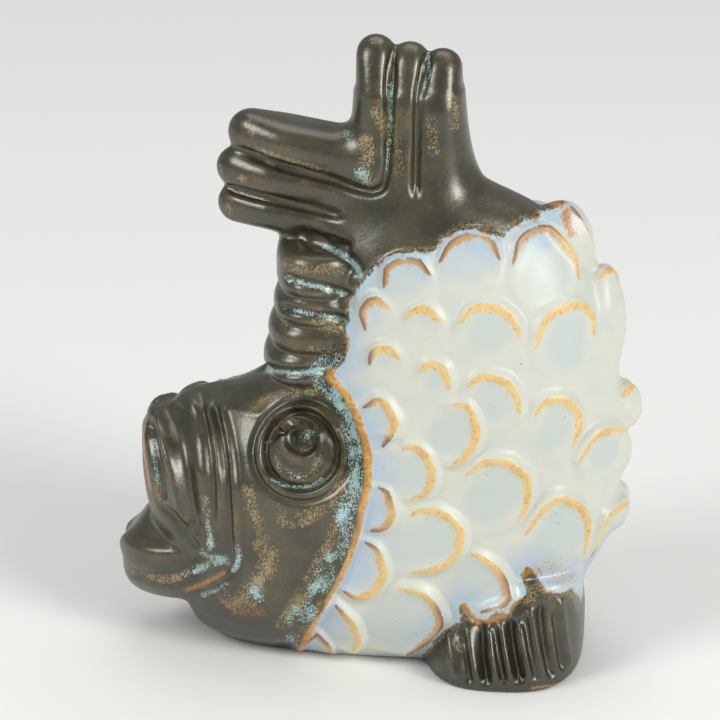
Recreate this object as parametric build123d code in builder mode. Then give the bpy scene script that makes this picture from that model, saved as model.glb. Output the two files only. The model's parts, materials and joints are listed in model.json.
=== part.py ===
from build123d import *

import os

# Glazed stoneware fish figurine. The fish stands on its chin, its belly and two ribbed fin feet,
# and its tail curls up over its back and forks into two lobes of three rays each.
# The fired figure is one hollow casting with nothing that moves. Its nodes are the pieces that
# are shaped apart and stuck together with slip before firing, so each one ends at a groove, a
# crease or a raised edge of the figure, and neighbours meet face to face.
# The lips point to -X, the belly to +X, the fish's left side to -Y, and +Z is up. The origin is
# the middle of the outline at table level. All lengths are in millimetres.

# Overall sizes
figure_length = 138.6
figure_height = 165.0
body_width = 56.0

# Clay wall, floor and firing vent
wall = 5.0
floor_thickness = 6.0
vent_diameter = 10.0
vent_place_share = 0.06
cavity_top_share = 0.72

# Gill cover
head_proud = 1.2
gill_rim_width = 4.0
gill_rim_rise = 0.9

# Eyes
eye_ring_diameter = 24.6
eye_ring_hollow = 19.4
eye_ball_diameter = 17.2
eye_pupil_diameter = 11.4
eye_pupil_dish = 8.2
eye_pupil_lift = 1.8
eye_ring_height = 0.8
eye_ball_height = 2.2
eye_pupil_height = 1.7
eye_dish_depth = 1.0
eye_edge_radius = 0.6
eye_seat_depth = 5.0

# Scales
scale_size = 19.0
scale_length_share = 0.56
scale_lift = 0.5
scale_tilt = 5.0
scale_sink = 4.0
scale_reach_share = 1.3
edge_scale_lift = 3.2
edge_scale_tilt = 14.0

# Tail rays
ray_depth = 17.0
ray_root_radius = 6.2
ray_tip_radius = 5.7

# Back fin ribs
rib_width = 38.0
rib_edge_radius = 3.0
rib_edge_limit_share = 0.4

# Fin feet
foot_span = 62.0
foot_length = 41.0
foot_height = 21.0
foot_root = 12.0
foot_overlap_share = 0.58
foot_front_share = 0.1
foot_rays = 4

# Cuts run past what they cut by this much
overrun = 10.0

# Every row of these tables is one level oval: its height as a share of figure_height, its front
# and rear as shares of figure_length from the middle, and its half-width as a share of body_width.
body_shares = [
    (0.0, -0.303, 0.36, 0.3),
    (0.036, -0.332, 0.382, 0.375),
    (0.109, -0.346, 0.406, 0.446),
    (0.218, -0.346, 0.434, 0.491),
    (0.339, -0.317, 0.463, 0.5),
    (0.4, -0.26, 0.467, 0.498),
    (0.455, -0.195, 0.458, 0.491),
    (0.533, -0.148, 0.43, 0.464),
    (0.606, -0.132, 0.408, 0.42),
    (0.679, -0.116, 0.362, 0.348),
    (0.733, -0.094, 0.292, 0.277),
    (0.782, -0.058, 0.188, 0.214),
    (0.855, -0.038, 0.153, 0.16),
]
head_shares = [
    (0.0, -0.31, 0.14, 0.3),
    (0.036, -0.361, 0.19, 0.385),
    (0.109, -0.382, 0.23, 0.452),
    (0.218, -0.387, 0.27, 0.496),
    (0.315, -0.383, 0.3, 0.502),
    (0.382, -0.365, 0.33, 0.49),
    (0.428, -0.32, 0.38, 0.48),
    (0.455, -0.25, 0.42, 0.485),
    (0.482, -0.205, 0.43, 0.485),
    (0.5, -0.19, 0.43, 0.48),
]
upper_lip_shares = [
    (0.222, -0.433, -0.34, 0.22),
    (0.25, -0.445, -0.33, 0.29),
    (0.303, -0.45, -0.32, 0.32),
    (0.352, -0.45, -0.32, 0.3),
    (0.385, -0.442, -0.33, 0.24),
    (0.408, -0.415, -0.34, 0.14),
]
muzzle_fold_shares = [
    (0.16, -0.38, -0.29, 0.34),
    (0.22, -0.392, -0.28, 0.385),
    (0.303, -0.397, -0.28, 0.39),
    (0.364, -0.39, -0.285, 0.36),
    (0.406, -0.382, -0.29, 0.27),
    (0.425, -0.372, -0.31, 0.17),
    (0.434, -0.362, -0.33, 0.09),
]
cheek_fold_shares = [
    (0.13, -0.31, -0.24, 0.39),
    (0.2, -0.315, -0.235, 0.435),
    (0.303, -0.32, -0.235, 0.446),
    (0.37, -0.32, -0.24, 0.405),
    (0.41, -0.32, -0.25, 0.31),
    (0.428, -0.32, -0.27, 0.2),
]
lower_lip_shares = [
    (0.058, -0.45, -0.33, 0.2),
    (0.073, -0.478, -0.31, 0.28),
    (0.106, -0.494, -0.29, 0.335),
    (0.142, -0.5, -0.285, 0.35),
    (0.18, -0.487, -0.29, 0.325),
    (0.206, -0.466, -0.31, 0.26),
    (0.221, -0.44, -0.33, 0.17),
]

# Side view of the gill line, from the table up to the lowest rib, then forward along the crease
# over the brow: shares of figure_length and figure_height.
gill_shares = [(-0.15, -0.03), (-0.067, 0.152), (0.001, 0.3), (0.013, 0.38), (-0.064, 0.492)]
brow_share = (-0.224, 0.468)
front_share = (-0.6, 0.6)

# Side view of the line where the dark tail ends and the scales begin.
tail_line_shares = [(-0.2, 0.61), (0.4, 0.775)]

# Centre of an eye in the side view.
eye_share = (-0.122, 0.384)

# Back fin ribs from the brow up: bottom and top of each as shares of figure_height, and its front
# as a share of figure_length.
rib_shares = [
    (0.468, 0.521, -0.208),
    (0.521, 0.568, -0.197),
    (0.568, 0.611, -0.185),
    (0.611, 0.681, -0.182),
]
rib_rear_share = 0.06

# Tail rays: root and tip of each in the side view.
upright_ray_shares = [
    ((0.0, 0.76), (0.0, 1.0)),
    ((0.064, 0.75), (0.062, 0.99)),
    ((0.126, 0.75), (0.118, 0.98)),
]
forward_ray_shares = [
    ((0.0, 0.808), (-0.256, 0.843)),
    ((0.03, 0.752), (-0.296, 0.79)),
    ((0.03, 0.706), (-0.296, 0.725)),
]
# Share of a ray's radius at even steps from its root to its rounded tip.
ray_dome_shares = [1.0, 1.0, 1.0, 1.0, 1.0, 1.0, 1.0, 0.92, 0.45]

# Fin feet: how far each ray reaches, and the profile of a ray from the table up, as the share of
# foot_height and the share of that reach.
foot_reach_shares = [0.88, 1.0, 0.98, 0.88]
foot_profile_shares = [(0.0, 0.9), (0.1, 1.0), (0.35, 0.94), (0.65, 0.74), (0.88, 0.4), (1.0, 0.12)]

# Scales by row, from the gill to the tail: place of the middle in the side view, the direction of
# the free edge in degrees from +X, and the width as a share of scale_size.
scale_row_shares = {
    "scales_gill_row": [
        (-0.09, 0.033, 45, 0.56),
        (-0.04, 0.08, 10, 0.8),
        (-0.015, 0.19, -15, 1.02),
        (0.018, 0.298, -10, 0.8),
        (0.018, 0.43, 25, 0.82),
        (0.032, 0.527, 95, 0.58),
        (0.018, 0.588, 115, 0.6),
    ],
    "scales_cheek_row": [
        (0.076, 0.097, 0, 1.16),
        (0.094, 0.236, 5, 1.12),
        (0.076, 0.354, 10, 0.94),
        (0.119, 0.503, 60, 0.64),
        (0.105, 0.594, 90, 0.64),
        (0.065, 0.648, 105, 0.82),
    ],
    "scales_flank_row": [
        (0.205, 0.164, 20, 1.06),
        (0.23, 0.315, 45, 1.2),
        (0.155, 0.421, 5, 1.04),
        (0.227, 0.473, 65, 0.97),
        (0.22, 0.582, 80, 1.04),
        (0.18, 0.679, 95, 1.02),
    ],
    "scales_belly_row": [
        (0.345, 0.224, 60, 1.18),
        (0.338, 0.421, 60, 0.95),
        (0.346, 0.557, 85, 1.04),
        (0.31, 0.66, 85, 1.12),
    ],
    "scales_rear_row": [
        (0.4, 0.197, 60, 0.86),
        (0.41, 0.36, 70, 0.94),
    ],
}
# Scales along the rear edge, which straddle the middle plane: height, width as a share of
# scale_size and lift as a share of edge_scale_lift. One of them stands out as a knob.
scale_edge_shares = [
    (0.2, 0.8, 0.1),
    (0.3, 0.8, 0.3),
    (0.415, 0.6, 1.0),
    (0.49, 0.8, 0.1),
    (0.585, 0.85, 0.25),
    (0.69, 0.9, 0.1),
]


def side_point(share):
    """A point of the side view, from shares of the length and the height."""
    return (share[0] * figure_length, share[1] * figure_height)


def oval_stack(shares, inset=0.0):
    """A smooth solid through level ovals, each drawn in by inset."""
    with BuildPart() as stack:
        for height_share, front, rear, half_width in shares:
            front_x = front * figure_length + inset
            rear_x = rear * figure_length - inset
            with BuildSketch(Plane.XY.offset(height_share * figure_height)):
                with Locations(((front_x + rear_x) / 2, 0)):
                    Ellipse((rear_x - front_x) / 2, half_width * body_width - inset)
        loft()
    return stack.part


def side_slab(draw_edges):
    """Everything inside an outline of the side view, right across the figure."""
    with BuildPart() as slab:
        with BuildSketch(Plane.XZ):
            with BuildLine():
                draw_edges()
            make_face()
        extrude(amount=body_width, both=True)
    return slab.part


def head_region(shift=0.0):
    """Side-view region in front of the gill line, which can be moved forward by shift."""

    def edges():
        gill = [(x - shift, z) for x, z in map(side_point, gill_shares)]
        curve = Spline(gill)
        far_top = side_point(front_share)
        brow = side_point(brow_share)
        Polyline(
            curve @ 1,
            (brow[0] - shift, brow[1]),
            far_top,
            (far_top[0], gill[0][1]),
            curve @ 0,
        )

    return side_slab(edges)


def tail_region():
    """Side-view region above the line where the scales begin."""

    def edges():
        low = side_point(tail_line_shares[0])
        high = side_point(tail_line_shares[1])
        top = figure_height + overrun
        Polyline(low, high, (high[0], top), (low[0], top), low)

    return side_slab(edges)


def biggest(part):
    """The largest solid of a cut, without the crumbs that a curved cut can leave."""
    return part.solids().sort_by(SortBy.VOLUME)[-1]


def cut_away(part, *tools):
    """The largest solid that is left when the tools are cut from a part."""
    with BuildPart() as left:
        add(part)
        for tool in tools:
            add(tool, mode=Mode.SUBTRACT)
    return biggest(left.part)


def left_half(part):
    """What a part has on the fish's left side."""
    with BuildPart() as half:
        add(part)
        split(bisect_by=Plane.XZ, keep=Keep.TOP)
    return half.part


def surface_plane(solid, start, inwards, direction, tilt=0.0):
    """Plane on a solid's surface where a ray meets it: Z out, X along direction, then tilted up."""
    point, normal = solid.find_intersection_points(Axis(start, inwards))[0]
    outward = normal if normal.dot(Vector(*inwards)) < 0 else normal * -1
    along = direction - outward * direction.dot(outward)
    plane = Plane(origin=point, x_dir=along, z_dir=outward)
    return plane.rotated((0, -tilt, 0))


def outer_face(builder, plane):
    """The face of a button or pad that looks outward along its plane."""
    return builder.faces().sort_by(Axis(plane.origin, plane.z_dir))[-1]


def left_flank_plane(solid, share, angle, tilt=0.0):
    """Plane on the fish's left side at a side-view place, with X turned by angle from +X."""
    x, z = side_point(share)
    direction = Vector(1, 0, 0).rotate(Axis.Y, -angle)
    return surface_plane(solid, (x, -body_width, z), (0, 1, 0), direction, tilt)


body_outer = oval_stack(body_shares)
head_outer = oval_stack(head_shares, inset=-head_proud / 2)
rim_outer = oval_stack(head_shares, inset=-head_proud / 2 - gill_rim_rise)
head_side = head_region()
tail_side = tail_region()

head_behind_rim = head_region(shift=gill_rim_width)
body_inner = oval_stack(body_shares, inset=wall)

# The hollow inside the casting
with BuildPart() as cavity:
    add(body_inner)
    cavity_top = cavity_top_share * figure_height
    with BuildSketch(Plane.XY.offset(floor_thickness)):
        Rectangle(2 * figure_length, 2 * body_width)
    extrude(amount=cavity_top - floor_thickness, mode=Mode.INTERSECT)

# Hollow body under the scales, with the firing vent in its floor
with BuildPart() as body_shell:
    add(body_outer)
    add(head_side, mode=Mode.SUBTRACT)
    add(tail_side, mode=Mode.SUBTRACT)
    add(cavity.part, mode=Mode.SUBTRACT)
    with Locations((vent_place_share * figure_length, 0, 0)):
        Cylinder(vent_diameter / 2, 2 * floor_thickness + overrun, mode=Mode.SUBTRACT)

# Hollow head in front of the gill line
with BuildPart() as head_shell:
    add(head_outer)
    add(head_side, mode=Mode.INTERSECT)
    add(cavity.part, mode=Mode.SUBTRACT)

# Raised edge of the gill cover, a band along the gill line on the head
with BuildPart() as gill_rim:
    add(rim_outer)
    add(head_side, mode=Mode.INTERSECT)
    add(head_behind_rim, mode=Mode.SUBTRACT)
    add(head_outer, mode=Mode.SUBTRACT)
    add(cavity.part, mode=Mode.SUBTRACT)

# Tail root that rises out of the back
with BuildPart() as tail_root:
    add(body_outer)
    add(tail_side, mode=Mode.INTERSECT)
    add(cavity.part, mode=Mode.SUBTRACT)

left_gill_rim = biggest(left_half(gill_rim.part))
pieces = {
    "body_shell": [body_shell.part],
    "head_shell": [head_shell.part],
    "gill_rim_left": [left_gill_rim],
    "gill_rim_right": [left_gill_rim.mirror(Plane.XZ)],
    "tail_root": [tail_root.part],
}


def mouth_pieces():
    """Folds of the muzzle and the two lips, each cut back to the piece behind it."""
    left_fold = cut_away(left_half(oval_stack(cheek_fold_shares)), head_outer)
    right_fold = left_fold.mirror(Plane.XZ)
    behind = [head_outer, left_fold, right_fold]
    muzzle_fold = cut_away(oval_stack(muzzle_fold_shares), *behind)
    lower_lip = cut_away(oval_stack(lower_lip_shares), *behind, muzzle_fold)
    upper_lip = cut_away(oval_stack(upper_lip_shares), *behind, muzzle_fold, lower_lip)
    return {
        "cheek_fold_left": [left_fold],
        "cheek_fold_right": [right_fold],
        "muzzle_fold": [muzzle_fold],
        "lower_lip": [lower_lip],
        "upper_lip": [upper_lip],
    }


pieces.update(mouth_pieces())


def eye_disc(plane, radius, top):
    """A flat button on an eye's plane, with a rounded edge, that reaches into the head."""
    with BuildPart() as disc:
        with BuildSketch(plane.offset(-eye_seat_depth)):
            Circle(radius)
        extrude(amount=eye_seat_depth + top)
        fillet(outer_face(disc, plane).edges(), eye_edge_radius)
    return disc.part


def eye_pieces():
    """Ring, ball and dished pupil of the left eye."""
    plane = left_flank_plane(head_outer, eye_share, 0)
    upwards = Vector(0, 0, 1)
    lifted = Plane(
        origin=plane.origin + upwards * eye_pupil_lift, x_dir=plane.x_dir, z_dir=plane.z_dir
    )
    ring_disc = eye_disc(plane, eye_ring_diameter / 2, eye_ring_height)
    ball_disc = eye_disc(plane, eye_ball_diameter / 2, eye_ball_height)
    with BuildPart() as ring:
        add(ring_disc)
        with BuildSketch(plane.offset(-2 * eye_seat_depth)):
            Circle(eye_ring_hollow / 2)
        extrude(amount=2 * eye_seat_depth + overrun, mode=Mode.SUBTRACT)
        add(head_outer, mode=Mode.SUBTRACT)
    with BuildPart() as ball:
        add(ball_disc)
        add(head_outer, mode=Mode.SUBTRACT)
    with BuildPart() as pupil:
        with BuildSketch(lifted.offset(eye_ball_height)):
            Circle(eye_pupil_diameter / 2)
        extrude(amount=eye_pupil_height)
        fillet(outer_face(pupil, lifted).edges(), eye_edge_radius)
        with BuildSketch(lifted.offset(eye_ball_height + eye_pupil_height)):
            Circle(eye_pupil_dish / 2)
        extrude(amount=-eye_dish_depth, mode=Mode.SUBTRACT)
    return {"eye_ring": ring.part, "eye_ball": ball.part, "eye_pupil": pupil.part}


for name, left_piece in eye_pieces().items():
    pieces[f"{name}_left"] = [left_piece]
    pieces[f"{name}_right"] = [left_piece.mirror(Plane.XZ)]


def back_rib(bottom_share, top_share, front):
    """One rounded rib of the fin on the back, open behind where the neck passes through it."""
    bottom = bottom_share * figure_height
    height = top_share * figure_height - bottom
    front_x = front * figure_length
    rear_x = rib_rear_share * figure_length
    edge_radius = min(rib_edge_radius, rib_edge_limit_share * height)
    with BuildPart() as rib:
        with BuildSketch(Plane.XY.offset(bottom)):
            with Locations(((front_x + rear_x) / 2, 0)):
                Ellipse((rear_x - front_x) / 2, rib_width / 2)
        extrude(amount=height)
        fillet(rib.edges().filter_by(Plane.XY), edge_radius)
    return cut_away(rib.part, body_outer, head_outer)


for number, (bottom_share, top_share, front) in enumerate(rib_shares, start=1):
    pieces[f"back_rib_{number}"] = [back_rib(bottom_share, top_share, front)]


def tail_ray(root_share, tip_share):
    """One round-ended ray of a tail lobe, deeper than it is wide."""
    root_x, root_z = side_point(root_share)
    tip_x, tip_z = side_point(tip_share)
    root, tip = Vector(root_x, 0, root_z), Vector(tip_x, 0, tip_z)
    with BuildPart() as ray:
        for count, size in enumerate(ray_dome_shares):
            step = count / (len(ray_dome_shares) - 1)
            radius = (ray_root_radius + (ray_tip_radius - ray_root_radius) * step) * size
            centre = root + (tip - root) * step
            with BuildSketch(Plane(origin=centre, x_dir=(0, 1, 0), z_dir=tip - root)):
                Ellipse(ray_depth / 2 * size, radius)
        loft()
    return ray.part


def tail_lobe(ray_shares):
    """Rays side by side, parted by flat faces halfway between them."""
    rays = [tail_ray(root_share, tip_share) for root_share, tip_share in ray_shares]
    for first in range(len(rays) - 1):
        (root_a, tip_a), (root_b, tip_b) = ray_shares[first : first + 2]
        root = (Vector(*side_point(root_a)) + Vector(*side_point(root_b))) / 2
        tip = (Vector(*side_point(tip_a)) + Vector(*side_point(tip_b))) / 2
        along = Vector(tip.X - root.X, 0, tip.Y - root.Y)
        parting = Plane(origin=(root.X, 0, root.Y), x_dir=(0, 1, 0), z_dir=along.cross(Vector(0, 1, 0)))
        root_b_point = Vector(*side_point(root_b))
        ahead = parting.to_local_coords(Vector(root_b_point.X, 0, root_b_point.Y)).Z > 0
        keeps = (Keep.BOTTOM, Keep.TOP) if ahead else (Keep.TOP, Keep.BOTTOM)
        rays[first] = rays[first].split(parting, keep=keeps[0])
        rays[first + 1] = rays[first + 1].split(parting, keep=keeps[1])
    return rays


def tail_pieces():
    """Both lobes of the tail, cut back to the tail root and to each other."""
    upright = [cut_away(ray, body_outer) for ray in tail_lobe(upright_ray_shares)]
    forward = [cut_away(ray, body_outer, *upright) for ray in tail_lobe(forward_ray_shares)]
    made = {}
    for number, ray in enumerate(upright, start=1):
        made[f"tail_upright_ray_{number}"] = [ray]
    for number, ray in enumerate(forward, start=1):
        made[f"tail_forward_ray_{number}"] = [ray]
    return made


pieces.update(tail_pieces())
for number in range(1, len(rib_shares) + 1):
    forward_rays = [pieces[f"tail_forward_ray_{ray}"][0] for ray in (1, 2, 3)]
    pieces[f"back_rib_{number}"] = [cut_away(pieces[f"back_rib_{number}"][0], *forward_rays)]


def foot_stack(number):
    """One ray of the left fin foot, from the table up, before it is cut back to the belly."""
    pitch = foot_length / foot_rays
    start = foot_front_share * figure_length + number * pitch
    middle = start + pitch / 2
    reach = foot_reach_shares[number] * foot_span / 2 - foot_root
    with BuildPart() as ray:
        for height_share, reach_share in foot_profile_shares:
            with BuildSketch(Plane.XY.offset(height_share * foot_height)):
                with Locations((middle, -foot_root)):
                    Ellipse(foot_overlap_share * pitch, reach_share * reach)
        loft()
        if number > 0:
            split(bisect_by=Plane.YZ.offset(start), keep=Keep.TOP)
        if number < foot_rays - 1:
            split(bisect_by=Plane.YZ.offset(start + pitch), keep=Keep.BOTTOM)
        split(bisect_by=Plane.XZ, keep=Keep.TOP)
    return ray.part


foot_stacks = [foot_stack(number) for number in range(foot_rays)]
for number, stack in enumerate(foot_stacks, start=1):
    ray = cut_away(stack, body_outer)
    pieces[f"foot_left_ray_{number}"] = [ray]
    pieces[f"foot_right_ray_{number}"] = [ray.mirror(Plane.XZ)]


def scale_pad(plane, width, lift):
    """One scale before it is cut to its neighbours: an oval pad tilted up at its free edge."""
    with BuildPart() as pad:
        with BuildSketch(plane.offset(-scale_sink)):
            Ellipse(scale_length_share * width, width / 2)
        extrude(amount=scale_sink + lift)
        split(bisect_by=Plane.XY, keep=Keep.TOP)
    return pad.part


def seat_scale(pad, centre, placed):
    """A scale cut back to the scales and fins that it runs under, and to the body."""
    reach = scale_reach_share * scale_size
    near = [whole for whole, place in placed if (place - centre).length < reach]
    return cut_away(pad, *near, body_outer)


def scale_pieces():
    """Rows of scales on both sides, and the row along the rear edge.

    A scale that is placed keeps all the space above it, so that no later scale bridges it.
    """
    placed, made = [(stack, stack.center()) for stack in foot_stacks], {}
    for row, scale_shares in scale_row_shares.items():
        left_row = []
        for x_share, z_share, angle, width_share in scale_shares:
            plane = left_flank_plane(body_outer, (x_share, z_share), angle, scale_tilt)
            pad = scale_pad(plane, width_share * scale_size, scale_lift)
            if row == "scales_gill_row":
                pad = cut_away(pad, head_side)
            left_row.append(seat_scale(pad, plane.origin, placed))
            placed.append((scale_pad(plane, width_share * scale_size, overrun), plane.origin))
        made[f"{row}_left"] = left_row
        made[f"{row}_right"] = [scale.mirror(Plane.XZ) for scale in left_row]
    for piece, place in list(placed):
        placed.append((piece.mirror(Plane.XZ), Vector(place.X, -place.Y, place.Z)))
    rear_row = []
    for height_share, width_share, lift_share in scale_edge_shares:
        start = (figure_length, 0, height_share * figure_height)
        plane = surface_plane(body_outer, start, (-1, 0, 0), Vector(0, 0, 1), edge_scale_tilt)
        pad = scale_pad(plane, width_share * scale_size, lift_share * edge_scale_lift)
        rear_row.append(seat_scale(pad, plane.origin, placed))
        placed.append((scale_pad(plane, width_share * scale_size, overrun), plane.origin))
    made["scales_rear_edge"] = rear_row
    return made


pieces.update(scale_pieces())

os.makedirs("parts", exist_ok=True)
for name, solids in pieces.items():
    with BuildPart() as node:
        add(solids[0])
    if len(solids) > 1:
        node.part = Part(children=solids)
    node.part.label = name
    export_step(node.part, f"parts/{name}.step")
    print(name, len(node.part.solids()), round(node.part.volume, 1))
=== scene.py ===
import json
import math

import bpy
import numpy as np
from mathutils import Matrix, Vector


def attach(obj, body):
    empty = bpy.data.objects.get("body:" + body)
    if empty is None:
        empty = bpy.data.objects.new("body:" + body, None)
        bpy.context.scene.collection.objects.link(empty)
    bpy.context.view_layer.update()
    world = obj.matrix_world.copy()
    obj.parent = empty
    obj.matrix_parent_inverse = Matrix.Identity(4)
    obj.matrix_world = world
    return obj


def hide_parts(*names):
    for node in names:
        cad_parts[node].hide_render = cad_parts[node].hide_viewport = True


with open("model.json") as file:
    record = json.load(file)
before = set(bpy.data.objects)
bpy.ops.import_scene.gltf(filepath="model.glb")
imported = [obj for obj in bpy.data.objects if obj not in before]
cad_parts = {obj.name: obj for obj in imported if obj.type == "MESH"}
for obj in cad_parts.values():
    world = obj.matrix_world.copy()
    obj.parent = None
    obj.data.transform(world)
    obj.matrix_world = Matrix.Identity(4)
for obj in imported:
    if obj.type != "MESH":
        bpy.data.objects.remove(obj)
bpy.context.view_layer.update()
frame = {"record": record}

# The glazed surface is worked out as one distance field in millimetres, meshed once, and parted
# along its own creases into the pieces of the record, so that the glaze runs on across them.
# Only the near side is worked out: y is minus the distance from the middle plane, and the far
# side mirrors it.
MM = 0.001
# Grid step, value of places far off, blur in grid steps, and thickness of the pieces
VOXEL = 0.55
FAR_AWAY = 50.0
SOFTEN = 1
SHELL = 1.5

# The photograph's camera: target, angles, distance and focal length in pixels of a 720-pixel frame
PHOTO_SIZE = 720
CAMERA_TARGET = (-4.3, 0.0, 78.5)
CAMERA_ELEVATION = 20.0
CAMERA_AZIMUTH = 6.0
CAMERA_DISTANCE = 711.0
FOCAL_PX = 2730.0
SENSOR = 36.0

# The parts of the grid that hold each shape: lowest and highest corner
FIGURE_SPAN = ((-75, 0, -3), (75, 37, 169))
BODY_SPAN = ((-55, 0, -4), (70, 34, 152))
HEAD_SPAN = ((-74, 0, -4), (12, 36, 92))
LIP_SPAN = ((-76, 0, 4), (-20, 30, 44))
TAIL_SPAN = ((-48, 0, 104), (32, 20, 168))
FOOT_SPAN = ((8, 0, -3), (64, 36, 30))
BASE_SPAN = ((-75, 0, -3), (75, 37, 6))

# Fillets where a shape meets those before it
BODY_FILLET = 0.1
HEAD_FILLET = 1.0
GILL_FILLET = 1.6
MUZZLE_FILLET = 3.0
LIP_FILLET = 1.4
RIB_FILLET = 0.9
RAY_FILLET = 2.2
TAIL_FILLET = 5.0
FOOT_FILLET = 2.0
REAR_FILLET = 1.8
BASE_ROUND = 1.6

# Squareness of the ovals: 2 is an ellipse
OVAL_POWER = 2.2
MUZZLE_POWER = 2.1
ROUND_POWER = 2.5
FOOT_POWER = 2.75

# Level ovals: height, front, rear and half-width, in millimetres
BODY_ROWS = [
    (-4, -36, 49, 13), (0, -38, 50, 14.5), (6, -43, 51, 20), (18, -46, 54.4, 25), (36, -46, 62.2, 27.3),
    (48, -45, 64.2, 27.8), (60, -38, 64.8, 27.8), (68, -32, 64.4, 27.6), (76, -26, 63.2, 27.2),
    (88, -22, 61, 25.8), (100, -18.5, 57.5, 23.5), (112, -16.5, 51, 19.5), (121, -13, 41.5, 15.5),
    (129, -8, 27, 12), (141, -5.5, 21.8, 9), (150, -4, 20, 7),
]
HEAD_ROWS = [
    (-4, -39, 19, 11.5), (0, -42.5, 20, 13), (6, -49.5, 26, 20), (18, -53, 32, 26.3), (36, -54, 38, 29.0),
    (50, -53.0, 42, 28.8), (59, -50.3, 44, 26), (65.5, -46, 47, 23), (68.6, -42.4, 49, 22),
    (71.2, -37, 52, 22), (74.6, -31, 55, 23), (79, -26, 58, 24.5), (84, -20, 60, 26),
]
MUZZLE_ROWS = [
    (22, -52, -24, 17), (28, -56, -22, 20), (36, -60.2, -20, 21.5), (45, -61.9, -20, 22.3),
    (53, -62.5, -20, 21.5), (58.5, -62.3, -22, 18.5), (61.6, -60.8, -22, 15.5), (63.4, -58.6, -24, 13),
    (64.8, -54.8, -26, 11.5), (67.2, -52.0, -30, 9), (68.7, -48.7, -34, 6), (69.6, -46.0, -38, 3),
]
LIP_ROWS = [
    (9.8, -56, -36, 3), (11, -62, -33, 6.5), (12.7, -65.6, -30, 10), (15, -67.4, -29, 13.5),
    (19, -68.3, -28, 17.5), (24, -68.3, -28, 18.8), (27, -67.1, -28, 17.8), (31, -64.6, -30, 15),
    (36, -61, -32, 11.5), (40, -58, -34, 8),
]

# Slit between the two sides of the upper lip: place from the middle plane, half-width and depth, and
# where it fades out in height and to the rear
SLIT_SIDE = 4.6
SLIT_HALF_WIDTH = 1.5
SLIT_DEPTH = 1.6
SLIT_TOP = (62, 56)
SLIT_REAR = (-54, -58)

# Scales of the rear edge, on the middle plane: middle and radii
REAR_EDGE = [
    ((46.6, 112.0), (8.4, 8.0, 11.0)), ((57.4, 91.0), (7.0, 9.0, 15.0)), ((63.3, 68.2), (6.0, 6.5, 6.0)),
    ((60.4, 56.5), (6.6, 9.5, 7.5)), ((60.2, 40.5), (6.4, 9.0, 6.5)),
]

# Back fin ribs: bottom, top and front
RIB_ROWS = [(77.0, 86.0, -29.0), (86.0, 93.5, -27.7), (93.5, 101.0, -26.2), (101.0, 112.6, -25.3)]
RIB_REAR = -1.5
RIB_HALF_WIDTH = 20.6
RIB_ROUND = 3.2

# Tail rays in the side view: root, tip, radius at the root and at the tip
UPRIGHT_RAYS = [
    ((2.2, 118), (-0.3, 160.3), 7.5, 4.9), ((9.1, 118), (8.3, 158.6), 7.2, 4.9),
    ((16.0, 118), (16.5, 157.1), 7.5, 4.9),
]
FORWARD_RAYS = [
    ((6, 131.5), (-32.4, 139.4), 6.9, 5.6), ((8, 124.2), (-36.0, 130.1), 6.4, 5.1),
    ((2, 117.4), (-35.9, 120.7), 6.8, 5.0),
]
RAY_HALF_DEPTH = 9.8
# Length over which a ray thins towards its tip, and the share of its depth that it loses there
RAY_THIN = 9.0
RAY_THIN_SHARE = 0.6

# Fin foot: height, front, rear and reach from the middle plane
FOOT_ROWS = [
    (-4, 14.6, 55.0, 31.4), (0, 13.6, 55.6, 32.0), (4, 13.4, 56.0, 32.0), (9, 14.6, 56.0, 30.9),
    (14, 17.6, 55.6, 28.9), (20, 22.5, 55.0, 26.6), (27, 30, 55.4, 24.0),
]
# Front of the first foot ray, width of each, and how far they lean to the front per height
FOOT_START = 13.6
FOOT_PITCH = 10.5
FOOT_LEAN = 0.12

# Lines that the photograph shows on the near side, in its pixels
GILL_PX = [
    (303, 650), (322, 612), (345, 572), (358, 540), (366, 505), (372, 478), (371, 452), (364, 425),
    (354, 402), (343, 385), (333, 376),
]
RIDGE_A_PX = [(152, 402), (158, 420), (166, 445), (175, 478), (183, 510), (191, 532)]
LIP_TROUGH_PX = [(149, 418), (153, 440), (156.5, 465), (160, 490), (162, 506)]
VALLEY_A_PX = [(166, 405), (176, 425), (183, 450), (187, 484), (192, 520), (197, 544)]
BULGE_PX = [(187, 386), (193, 405), (199, 430), (203, 465), (206, 500), (209, 540)]
VALLEY_B_PX = [(198, 388), (205, 410), (210, 440), (213, 480), (215.5, 520), (217, 548)]
RIDGE_B_PX = [(204, 398), (210, 416), (215, 440), (218.6, 467), (220.5, 494), (219, 520), (214, 545)]
VALLEY_C_PX = [(212, 398), (217, 414), (222.5, 438), (226, 467), (228.5, 494), (230, 530), (229, 556)]
RIDGE_C_PX = [
    (219, 400), (224, 416), (229, 438), (233, 467), (235, 494), (237.5, 532), (239, 556), (233, 571),
    (218, 583), (201, 594),
]
CHEEK_CREASE_PX = [
    (226, 410), (232, 436), (237, 467), (239, 500), (242, 535), (243, 560), (236, 577), (219, 589),
    (200, 598),
]
LIP_CREST_PX = [(123, 537), (135, 546), (152, 551), (172, 552.5), (190, 553)]
LIP_CREASE_PX = [(128, 572), (145, 577), (163, 578), (182, 574), (203, 563), (218, 555)]
LIP_TOP_PX = [(155, 502), (168, 512), (180, 525), (190, 541), (202, 551)]
CREASE_1_PX = [
    (396, 42), (391, 66), (389.5, 90), (388.7, 123), (388, 158), (385.5, 177), (379.5, 190), (368, 192),
    (354, 188), (333, 181), (308, 174), (280, 165.4), (254, 155), (232, 144),
]
CREASE_2_PX = [(222, 186), (245, 193), (268, 199), (304, 208), (349, 217)]
CREASE_3_PX = [(296, 231), (326, 240), (354, 248)]
KNUCKLE_PX = [(247, 142), (274, 153), (310, 165), (335, 171)]
GROOVE_B_PX = [(430, 49), (424, 70), (418.5, 100), (417, 125), (416.5, 160), (415.5, 205)]
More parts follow.
